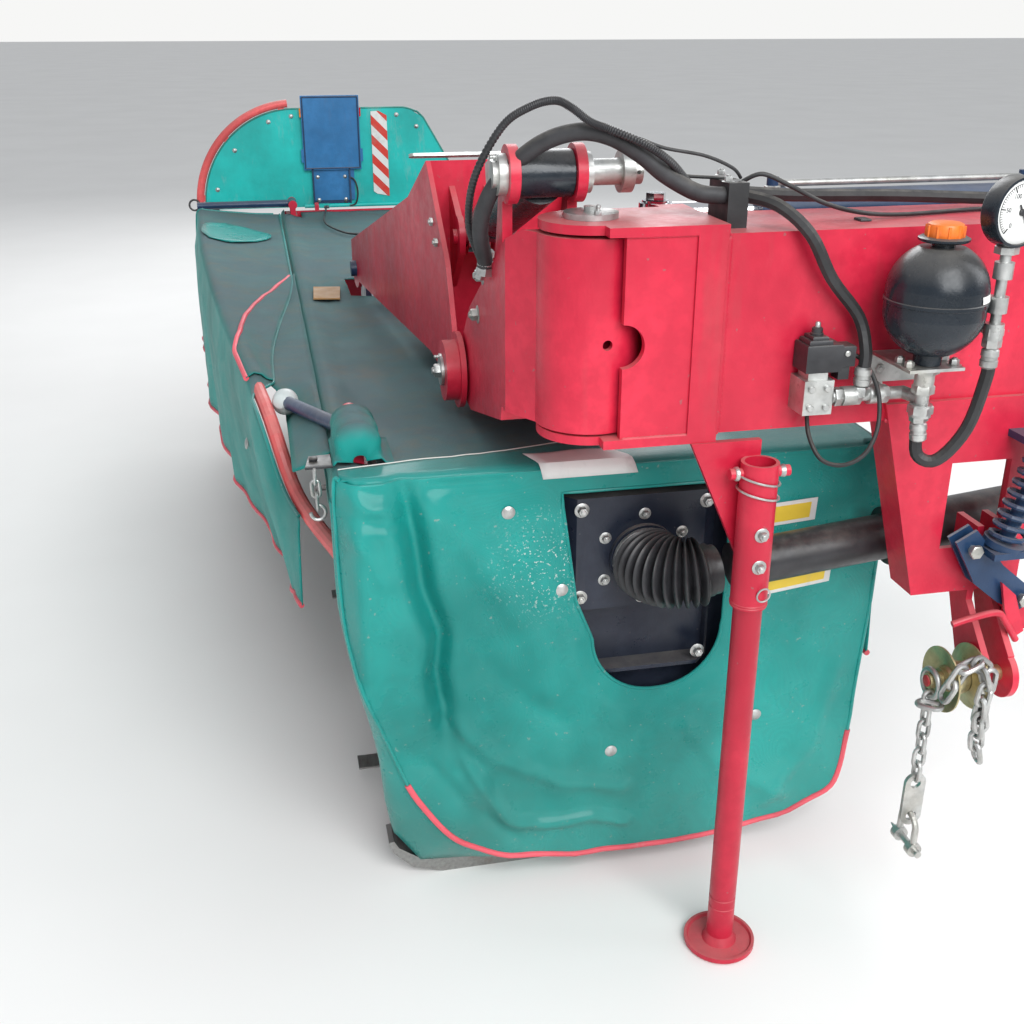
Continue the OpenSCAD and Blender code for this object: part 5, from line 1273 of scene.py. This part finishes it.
class MOWER_OT_hydraulics(MowerOperator):
    """Finishes the accumulator, the gauge, the valve and the fittings on the pipes"""

    bl_idname = "mower.hydraulics"
    bl_label = "Hydraulics"

    def accumulator(self):
        middle = at(*ACCUMULATOR, 1215)
        head = Vector((middle.x, middle.y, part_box("accumulator")[1].z))
        cap = Shape()
        knob = ((0, 0.024), (0.004, 0.0265), (0.018, 0.0265), (0.022, 0.025), (0.024, 0.021), (0.025, 0.0))
        cap.lathe(head - UP * 0.003, UP, knob, 36)
        for way in round_about(RIGHT, BACK, 10):
            cap.lathe(head + way * 0.0262 + UP * 0.001, UP, ((0, 0.0022), (0.016, 0.0022)), 6)
        cap.build("accumulator_cap", "orange", "headstock")
        rings = Shape()
        rings.lathe(head - UP * 0.006, UP, ((0, 0.034), (0.002, 0.037), (0.005, 0.037), (0.007, 0.033)), 36)
        seam = ((-0.0035, 0.0740), (-0.0022, 0.0752), (0.0022, 0.0752), (0.0035, 0.0740))
        rings.lathe(middle, UP, seam, 64)
        rings.build("accumulator_rings", "black", "headstock")
        label, rows, columns, points = Shape(), 4, 8, []
        for e in [math.radians(4 + 15 * i / rows) for i in range(rows + 1)]:
            for a in [math.radians(-62 + 34 * k / columns) for k in range(columns + 1)]:
                way = Vector((math.cos(a) * math.cos(e), math.sin(a) * math.cos(e), math.sin(e)))
                points.append(middle + way * 0.0752)
        label.add(points, net(rows + 1, columns + 1))
        label.build("accumulator_label", "white", "headstock")

    def gauge(self, context):
        """Case, dial, marks, pointer and bezel on one axis."""
        facing = Vector((0.19, -0.982, 0)).normalized()
        across = UP.cross(facing)
        middle = at(562, -220, 1346)
        case = Shape()
        bezel = ((-0.017, 0.030), (-0.0168, 0.044), (-0.014, 0.0485), (-0.011, 0.0500), (0.013, 0.0500),
                 (0.0165, 0.0490), (0.0170, 0.0455), (0.0128, 0.0450), (0.0126, 0.0))
        case.lathe(middle, facing, bezel, 64)
        case.lathe(middle - UP * 0.047, -UP, ((0, 0.011), (0.0035, 0.011)), 24)
        made = case.build("gauge_case", "black", None)
        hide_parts("pressure_gauge")
        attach(made, "headstock")
        centre = middle + facing * 0.0128
        dial = Shape()
        dial.lathe(centre, facing, ((0, 0.0448), (0.0006, 0.0448), (0.0009, 0.0444), (0.0010, 0.0)), 48)
        dial.build("gauge_dial", "white", "headstock")

        def on_dial(degrees, radius, lift=0.0012):
            a = math.radians(degrees)
            return centre + facing * lift + across * math.cos(a) * radius + UP * math.sin(a) * radius

        marks, first, sweep, pointer = Shape(), 225, 270, -62
        for k in range(51):
            turn = first - sweep * k / 50
            inner, wide = (0.0310, 0.0009) if k % 10 == 0 else (0.0350, 0.0004)
            marks.tube([on_dial(turn, inner), on_dial(turn, 0.0390)], wide, 5)
        marks.tube([on_dial(first - sweep * k / 60, 0.0396) for k in range(61)], 0.0004, 5)
        hand = [on_dial(pointer, reach, 0.0028) for reach in (-0.012, 0.033)]
        marks.tube(hand, lambda i: 0.0013 - 0.0008 * i, 6)
        marks.lathe(centre, facing, ((0, 0.005), (0.0032, 0.005), (0.0040, 0.0035)), 20)
        marks.build("gauge_marks", "plastic", "headstock", smooth=0)
        turn = Matrix((across, UP, facing)).transposed().to_4x4()
        for k in range(6):
            words = bpy.data.curves.new("gauge_number_" + str(k * 50), "FONT")
            words.body = str(k * 50)
            words.size = 0.0092
            words.align_x = words.align_y = "CENTER"
            words.extrude = 0.00015
            number = bpy.data.objects.new(words.name, words)
            context.scene.collection.objects.link(number)
            number.matrix_world = Matrix.Translation(on_dial(first - sweep * k / 5, 0.0250)) @ turn
            words.materials.append(finish("plastic"))
            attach(number, "headstock")

    def valve(self):
        coil = Shape()
        coil.block((301.5, -149.5, 1102), (360.5, -102.5, 1144))
        coil.block((306, -145, 1144), (344, -107, 1150.6))
        coil.block((312, -142, 1150.4), (338, -110, 1156))
        nut = ((0, 0.010), (0.003, 0.010), (0.004, 0.0085), (0.010, 0.0085), (0.012, 0.006))
        coil.lathe(at(*COIL, 1156), UP, nut, 24)
        coil.build("coil_nut", "plastic", "headstock")
        plug = Shape()
        plug.block((357, -142, 1107), (385, -110, 1139))
        plug.block((361, -138, 1086), (379, -114, 1107))
        gland = ((0, 0.0085), (0.012, 0.0085), (0.014, 0.006), (0.018, 0.0055))
        plug.lathe(at(371, -126, 1124), RIGHT, gland, 18)
        plug.build("coil_connector", "plastic", "headstock")
        screws = Shape()
        screws.lathe(at(371, -142.2, 1128), FRONT, ((0, 0.0045), (0.002, 0.0045), (0.0028, 0.003)), 14)
        screws.lathe(at(*COIL, 1168), UP, ((0, 0.0045), (0.006, 0.0045), (0.008, 0.003)), 14)
        screws.build("coil_screws", "zinc", "headstock")

    def execute(self, context):
        self.accumulator()
        self.gauge(context)
        self.valve()
        nuts = Shape()
        for x, z in ((312, 1048), (312, 1078), (338, 1048), (338, 1078)):
            nuts.lathe(at(x, -152.2, z), FRONT, ((0, 0.0055), (0.004, 0.0055), (0.005, 0.0045)), 14)
        for place, height, stack in (
            (ACCUMULATOR, 0.014, ((1040, 0.034), (1072, 0.030), (1104, 0.036))),
            (GAUGE_PIPE, 0.012, ((1166, 0.026), (1206, 0.022), (1250, 0.022), (1286, 0.030))),
        ):
            for z, across in stack:
                nuts.hexagon(at(*place, z), UP, across, height)
        for x in (352, 384, 430):
            nuts.hexagon(at(x, -146, 1062), RIGHT, 0.026, 0.013)
        nuts.build("hydraulic_nuts", "zinc", "headstock")
        hold = Shape()
        hold.bolts(UP, 0.013, (442, -172, 1118), (516, -172, 1118), (442, -200, 1118), (516, -200, 1118))
        hold.build("accumulator_bolts", "zinc", "headstock")
        return {"FINISHED"}


class MOWER_OT_hitch(MowerOperator):
    """Adds the slack chain, the latch arms and lever, and the hitch's small hardware"""

    bl_idname = "mower.hitch"
    bl_label = "Hitch hardware"

    def execute(self, context):
        slack, pitch, wire = Shape(), 0.031, 0.0095
        slack.chain(pitch, wire, (588, -206, 530), (594, -214, 556), (606, -214, 580), (626, -210, 594),
                    (650, -208, 590), (668, -204, 566))
        slack.chain(pitch, wire, (668, -210, 570), (664, -214, 540), (660, -212, 500), (664, -206, 452),
                    (672, -202, 412), (682, -198, 384), turned=1)
        slack.chain(pitch, wire, (646, -218, 582), (656, -222, 548), (652, -220, 512), (662, -216, 470),
                    (676, -212, 440))
        slack.chain(0.029, wire, (572, -172, 500), (580, -188, 506), (594, -192, 498), (600, -186, 484))
        slack.build("slack_chain", "zinc", "headstock")
        arms = Shape()
        for y in (-150, -126):
            arms.slab(upright(y, (604, 792), (640, 812), (700, 742), (752, 700), (770, 668), (742, 650),
                              (700, 672), (650, 712)), 0.008, BACK)
        arms.build("latch_arms", "navy", "headstock")
        pins = Shape()
        grooved = ((0, 0.008), (0.001, 0.0095), (0.003, 0.0095), (0.004, 0.008), (0.044, 0.008),
                   (0.045, 0.0095), (0.048, 0.0095))
        for x, z in ((636, 778), (746, 676)):
            pins.lathe(at(x, LATCH_FACE, z), BACK, grooved, 20)
            pins.hexagon(at(x, LATCH_FACE, z), FRONT, 0.022, 0.008)
        pins.build("latch_pins", "zinc", "headstock")
        lever = Shape()
        rod = curve_at(12, (604, -174, 652), (640, -176, 662), (688, -172, 664), (712, -166, 640),
                       (742, -160, 600))
        lever.tube(rod, 0.006, 12)
        lever.slab(upright(-164, (694, 716), (724, 690), (752, 618), (734, 606), (708, 662)), 0.008, BACK)
        lever.build("latch_lever", "red", "headstock")
        core = Shape()
        core.lathe(at(578.6, -165, 540), LEFT, ((0, 0.0105), (0.0015, 0.0105), (0.0025, 0.008)), 24)
        core.build("ball_pin_cores", "red_core", "headstock")
        linch = Shape()
        turns = map(math.radians, range(-60, 241, 15))
        linch.tube([at(1570.5, -165 + 24 * math.cos(a), 540 + 24 * math.sin(a)) for a in turns], 0.0022, 8)
        linch.build("linch_pin_ring", "zinc", "headstock")
        return {"FINISHED"}


class MOWER_OT_fasteners(MowerOperator):
    """Adds bolts, weld beads, grease nipples, the fold cylinder's pipe and the stand's pin"""

    bl_idname = "mower.fasteners"
    bl_label = "Fasteners and welds"

    def bolts(self):
        head = Shape()
        head.bolts(FRONT, 0.017, *((x, -70, z) for x in (1030, 1110) for z in (702, 818)))
        for a in [math.radians(15 + 60 * k) for k in range(6)]:
            head.bolt(at(1080 + 50 * math.cos(a), -95, 760 + 50 * math.sin(a)), FRONT, 0.011)
        head.bolts(FRONT, None, (1020, 60, 930), (1120, 60, 930))
        head.bolts(FRONT, 0.014, (448, -100, 1060), (448, -100, 1090))
        head.bolts(UP, 0.011, (200, -40, 1374), (220, 40, 1374))
        head.build("headstock_bolts", "zinc", "headstock")
        arm, carrier, float_bolts = Shape(), Shape(), Shape()
        for side, way in ((-1, LEFT), (1, RIGHT)):
            arm.bolts(way, None, (side * 120, 250, 1190), (side * 120, 300, 1110))
            carrier.bolts(way, 0.016, (side * 136, 640, 1180), (side * 138, 680, 1215))
        carrier.bolt(at(-161.5, 465, 963), LEFT, 0.024)
        float_bolts.bolts(UP, 0.022, *((x, y, 846.7) for x in (-150, -90, 90, 150) for y in (1612, 1758)))
        arm.build("arm_bolts", "zinc", "arm")
        carrier.build("carrier_bolts", "zinc", "carrier")
        float_bolts.build("float_bolts", "zinc", "mower")

    def stand_pin(self):
        x, y = STAND
        turns = [2 * math.pi * k / 36 for k in range(37)]
        pin = Shape()
        for z in (932, 908):
            wire = [at(x + 33.5 * math.cos(a), y + 33.5 * math.sin(a), z - 8 * math.cos(a)) for a in turns]
            pin.tube(wire, 0.0019, 8)
        head = ((0, 0.010), (0.002, 0.0115), (0.006, 0.0115), (0.008, 0.009), (0.011, 0.008))
        tail = ((0, 0.008), (0.004, 0.0095), (0.010, 0.0105), (0.012, 0.008))
        pin.lathe(at(x - 42, y, 942), RIGHT, head, 20)
        pin.lathe(at(x + 31, y, 942), RIGHT, tail, 20)
        pin.build("stand_pin_clip", "zinc", "headstock")
        lips = Shape()
        for z in (712, 716):
            lips.lathe(at(x, y, z), UP, ((0, 0.0303), (0.0015, 0.0312), (0.003, 0.0303)), 36)
        lips.build("stand_sleeve_lip", "red", "headstock")
        screws = Shape()
        screws.bolts(FRONT, 0.014, (x, -165.3, 846), (x, -165.3, 790))
        turns = [2 * math.pi * k / 26 for k in range(27)]
        ring = [at(258 + 11 * math.cos(a), -167 - 3 * math.sin(a), 740 + 13 * math.sin(a)) for a in turns]
        screws.tube(ring, 0.0016, 8)
        screws.build("stand_sleeve_screws", "zinc", "headstock")

    def execute(self, context):
        self.bolts()
        welds = Shape()
        for z in (1001, 1307):
            welds.weld((184, -104, z), (184, 80, z), 0.8)
        welds.weld((184.5, BEAM_SIDE, 1004), (184.5, BEAM_SIDE, 1304))
        welds.weld((470, BEAM_SIDE, 1001), (755, BEAM_SIDE, 1001))
        for z in (1309, 999):
            welds.weld((30, -100, z), (180, -100, z), 0.8)
        welds.build("beam_welds", "red", "headstock")
        pipe = Shape()
        pipe.tube(places((828, 154, 1343), (358, 154, 1343)), 0.0058, 12)
        for x in (828, 358):
            pipe.hexagon(at(x, 154, 1331), UP, 0.024, 0.009)
            pipe.lathe(at(x, 154, 1338), UP, ((0, 0.0085), (0.009, 0.0085), (0.012, 0.006)), 20)
        pipe.build("fold_cylinder_pipe", "zinc", "headstock")
        self.stand_pin()
        for place, way, body in (((0, -40, 1331.4), UP, "headstock"), ((-162, 470, 990), LEFT, "carrier"),
                                 ((-128, 62, 1406), LEFT, "arm")):
            p, grease = at(*place), Shape()
            grease.hexagon(p, way, 0.010, 0.006)
            nipple = ((0, 0.0032), (0.004, 0.0028), (0.005, 0.0038), (0.008, 0.0034), (0.0095, 0.001))
            grease.lathe(p + way * 0.006, way, nipple, 12)
            grease.build("grease_nipple_" + body, "zinc", body)
        return {"FINISHED"}


class MOWER_OT_guards(MowerOperator):
    """Adds the lenses, the board's binding, the lamp cables and the small pieces of the guards"""

    bl_idname = "mower.guards"
    bl_label = "Guard details"

    def lamps(self):
        round_lens = ((0, 0.034), (0.008, 0.034), (0.013, 0.028), (0.014, 0.0))
        for name, tone, x, way, lamp_x in (("red_lenses", "red_lens", -61.7, RIGHT, -120),
                                           ("amber_lenses", "amber_lens", -292.3, LEFT, -234)):
            lenses = Shape()
            for low, high in ((1065, 1099), (1233, 1267)):
                corners = places((x, 3225, low), (x, 3235, low), (x, 3235, high), (x, 3225, high))
                lenses.slab(corners, 0.006, way)
            lenses.lathe(at(lamp_x, LAMP_BOARD_BACK, 1120), BACK, round_lens, 32)
            lenses.build(name, tone, "outer_guard")
        border, corners = Shape(), [(-286, 1036), (-68, 1036), (-68, 1308), (-286, 1308), (-286, 1036)]
        for pair in zip(corners, corners[1:]):
            border.tube(upright(3221.6, *pair), 0.003, 8)
        border.build("panel_border", "navy", "outer_guard")
        bracket = Shape()
        bracket.pane(3238.4, (-262, 880), (-108, 1034), 0.006)
        bracket.pane(3222, (-262, 884), (-256, 1034), 0.016)
        bracket.pane(3222, (-114, 884), (-108, 1034), 0.016)
        bracket.build("panel_bracket", "navy", "outer_guard")

    def board(self):
        rivets = Shape()
        for y, spots in ((LAMP_BOARD_BACK, ((-240, 910), (-240, 1000), (-130, 910), (-130, 1000))),
                         (3245.8, ((-640, 960), (-560, 1110), (-420, 1216), (-330, 1236), (90, 1236),
                                   (170, 1190), (290, 990), (-640, 900), (300, 900)))):
            for place in upright(y, *spots):
                rivet(rivets, place, FRONT, 0.008)
        rivets.build("guard_board_rivets", "zinc", "outer_guard")
        trim, back = Shape(), GUARD_BOARD_BACK
        slope = upright(back, (378.5, 884), (378.5, 898), (374, 920), (359, 947.5), (330, 998), (279, 1086),
                        (199, 1223.5), (176, 1246), (139, 1259.5), (117, 1263.5))
        top = [at(x, back, 1263.5) for x in range(90, -316, -35)]
        turns = map(math.radians, range(90, 181, 3))
        arc = [at(-315 + 375.5 * math.cos(a), back, 888 + 375.5 * math.sin(a)) for a in turns]
        trim.tube(slope + top + arc, 0.0042, 8)
        trim.build("guard_board_binding", "board_edge", "outer_guard")
        latch = Shape()
        turns = [2 * math.pi * k / 28 for k in range(29)]
        ring = [at(-735 + 20 * math.cos(a), 3230 + 4 * math.sin(a), 905 + 20 * math.sin(a)) for a in turns]
        latch.tube(ring, 0.004, 10)
        latch.tube(places((-716, 3232, 902), (-680, 3234, 892), (-640, 3238, 884)), 0.005, 10)
        latch.build("hoop_latch_ring", "plastic", "outer_guard")

    def cables(self):
        line = curve_at(10, (-114, 3232, 1000), (-92, 3226, 985), (-82, 3221, 940), (-92, 3219, 896),
                        (-118, 3222, 888), (-136, 3232, 902))
        free_cable("lamp_cable", line, "outer_guard", 0.007)
        line = curve_at(14, (-214, 3196, 890), (-226, 3080, 885.5), (-243, 2900, 885), (-240, 2764, 885),
                        (-212, 2640, 885), (-180, 2560, 885), (-140, 2523, 885.5))
        free_cable("lamp_lead", line, "mower", 0.0076)
        clips = Shape()
        for x, y in ((-214, 3196), (-140, 2523)):
            clips.block((x - 10, y - 8, 882), (x + 10, y + 8, 892))
        clips.build("lamp_lead_clips", "plastic", "mower")

    def execute(self, context):
        self.lamps()
        self.board()
        self.cables()
        cap, ball, way = Shape(), at(-465.6, 636, 866), Vector((-0.42, -0.86, 0.30))
        cap.lathe(ball, way, ((0.0262, 0.0135), (0.0272, 0.0150), (0.0288, 0.0130), (0.0294, 0.0)), 26)
        cap.lathe(ball, way, ((-0.0275, 0.006), (-0.0268, 0.012), (-0.018, 0.0216), (-0.004, 0.0274),
                              (0.006, 0.0272), (0.016, 0.0228), (0.0240, 0.0140), (0.0272, 0.006)), 30)
        cap.build("strut_ball_cap", "cap_grey", "front_guard")
        pins = Shape()
        for y in (220, 3091):
            pins.lathe(at(-352, y, 914), FRONT, ((0, 0.010), (0.003, 0.012), (0.006, 0.010)), 20)
        pins.build("strut_pin_caps", "zinc", "front_guard")
        plate = Shape()
        plate.slab(level(885, (-360, 1500), (-288, 1486), (-276, 1638), (-352, 1652)), 0.004, UP)
        plate.build("blank_tan_plate", "tan", "mower")
        reflector, x = Shape(), -206.4
        reflector.slab(places((x, 1600, 912), (x, 1600, 952), (x, 1624, 952), (x, 1624, 912)), 0.004, LEFT)
        reflector.build("float_reflector", "clear_lens", "mower")
        return {"FINISHED"}


class MOWER_OT_stage(MowerOperator):
    """Sets the pale floor, the soft lamps and the camera"""

    bl_idname = "mower.stage"
    bl_label = "Floor, lamps and camera"

    def link(self, context, name, data):
        made = bpy.data.objects.new(name, data)
        context.scene.collection.objects.link(made)
        return made

    def floor(self, context):
        mesh, reach = bpy.data.meshes.new("studio_floor"), 90
        corners = [(-reach, -reach, 0), (reach, -reach, 0), (reach, reach, 0), (-reach, reach, 0)]
        mesh.from_pydata(corners, [], [(0, 1, 2, 3)])
        made = self.link(context, "studio_floor", mesh)
        f = Finish("studio_floor_finish")
        tone = f.blend(f.cloud(0.9, 3.0, 0.3, 0.7), (0.80, 0.79, 0.77), (0.84, 0.83, 0.81))
        mesh.materials.append(f.surface(tone, f.cloud(3.0, 3.0, 0.3, 0.7, 0.8, 0.92)))

    def world(self, context):
        """A cool sky that lights the machine and a plain pale one behind it."""
        world = context.scene.world = bpy.data.worlds.new("studio_world")
        world.use_nodes = True
        nodes, links = world.node_tree.nodes, world.node_tree.links
        ray, seen = nodes.new("ShaderNodeLightPath"), nodes.new("ShaderNodeBackground")
        seen.inputs["Color"].default_value = (0.93, 0.93, 0.92, 1)
        lit = nodes["Background"]
        lit.inputs["Color"].default_value = (0.93, 0.96, 1.0, 1)
        lit.inputs["Strength"].default_value = 0.62
        either = nodes.new("ShaderNodeMixShader")
        links.new(ray.outputs["Is Camera Ray"], either.inputs["Fac"])
        links.new(lit.outputs["Background"], either.inputs[1])
        links.new(seen.outputs["Background"], either.inputs[2])
        links.new(either.outputs["Shader"], nodes["World Output"].inputs["Surface"])

    def camera(self, context):
        focal_pixels, photo_side, sensor = 1172, 1024, 36.0
        eye = bpy.data.cameras.new("photo_camera")
        eye.sensor_fit = "HORIZONTAL"
        eye.sensor_width = sensor
        eye.lens = focal_pixels * sensor / photo_side
        eye.clip_start, eye.clip_end = 0.05, 400
        pitch = math.radians(22.9)
        look = Vector((0.2079 * math.cos(pitch), 0.9781 * math.cos(pitch), -math.sin(pitch)))
        made = self.link(context, "photo_camera", eye)
        made.location = (-0.91325, -3.232, 1.6)
        made.rotation_euler = look.to_track_quat("-Z", "Y").to_euler()
        context.scene.camera = made

    def execute(self, context):
        self.floor(context)
        self.world(context)
        middle = Vector((-0.2, 0.0, 0.8))
        for name, place, size, power, tint in (
            ("key_lamp", (0.3, -6.0, 4.4), 4.2, 400, (0.97, 0.99, 1.0)),
            ("fill_lamp", (4.6, -1.5, 3.6), 3.6, 90, (0.95, 0.97, 1.0)),
            ("back_lamp", (0.6, 5.4, 4.8), 4.2, 220, (0.97, 0.985, 1.0)),
        ):
            lamp = bpy.data.lights.new(name, "AREA")
            lamp.shape = "SQUARE"
            lamp.size, lamp.energy, lamp.color = size, power, tint
            made = self.link(context, name, lamp)
            made.location = place
            made.rotation_euler = (middle - Vector(place)).to_track_quat("-Z", "Y").to_euler()
        self.camera(context)
        context.scene.view_settings.view_transform = "Standard"
        return {"FINISHED"}


OPERATORS = (
    MOWER_OT_stage, MOWER_OT_finishes, MOWER_OT_end_cover, MOWER_OT_top_cover, MOWER_OT_front_curtain,
    MOWER_OT_bellows, MOWER_OT_hoses, MOWER_OT_hydraulics, MOWER_OT_hitch, MOWER_OT_fasteners,
    MOWER_OT_guards,
)

SETTINGS = (
    ("mower_colours", MowerColours), ("mower_canvas", MowerCanvas), ("mower_hoses", MowerHoses),
    ("mower_fasteners", MowerFasteners),
)


class MOWER_PT_panel(bpy.types.Panel):
    """Buttons and settings of the mower"""

    bl_label = "Disc mower conditioner"
    bl_idname = "MOWER_PT_panel"
    bl_space_type = "VIEW_3D"
    bl_region_type = "UI"
    bl_category = "Mower"

    def draw(self, context):
        for name, group in SETTINGS:
            box = self.layout.box()
            for key in group.__annotations__:
                box.prop(getattr(context.scene, name), key)
        for operator in OPERATORS:
            self.layout.operator(operator.bl_idname)


def register():
    for name, group in SETTINGS:
        bpy.utils.register_class(group)
        setattr(bpy.types.Scene, name, bpy.props.PointerProperty(type=group))
    for cls in (*OPERATORS, MOWER_PT_panel):
        bpy.utils.register_class(cls)


def unregister():
    for cls in (MOWER_PT_panel, *reversed(OPERATORS)):
        bpy.utils.unregister_class(cls)
    for name, group in reversed(SETTINGS):
        delattr(bpy.types.Scene, name)
        bpy.utils.unregister_class(group)


def main():
    register()
    for operator in OPERATORS:
        family, action = operator.bl_idname.split(".")
        getattr(getattr(bpy.ops, family), action)()


if __name__ == "__main__":
    main()
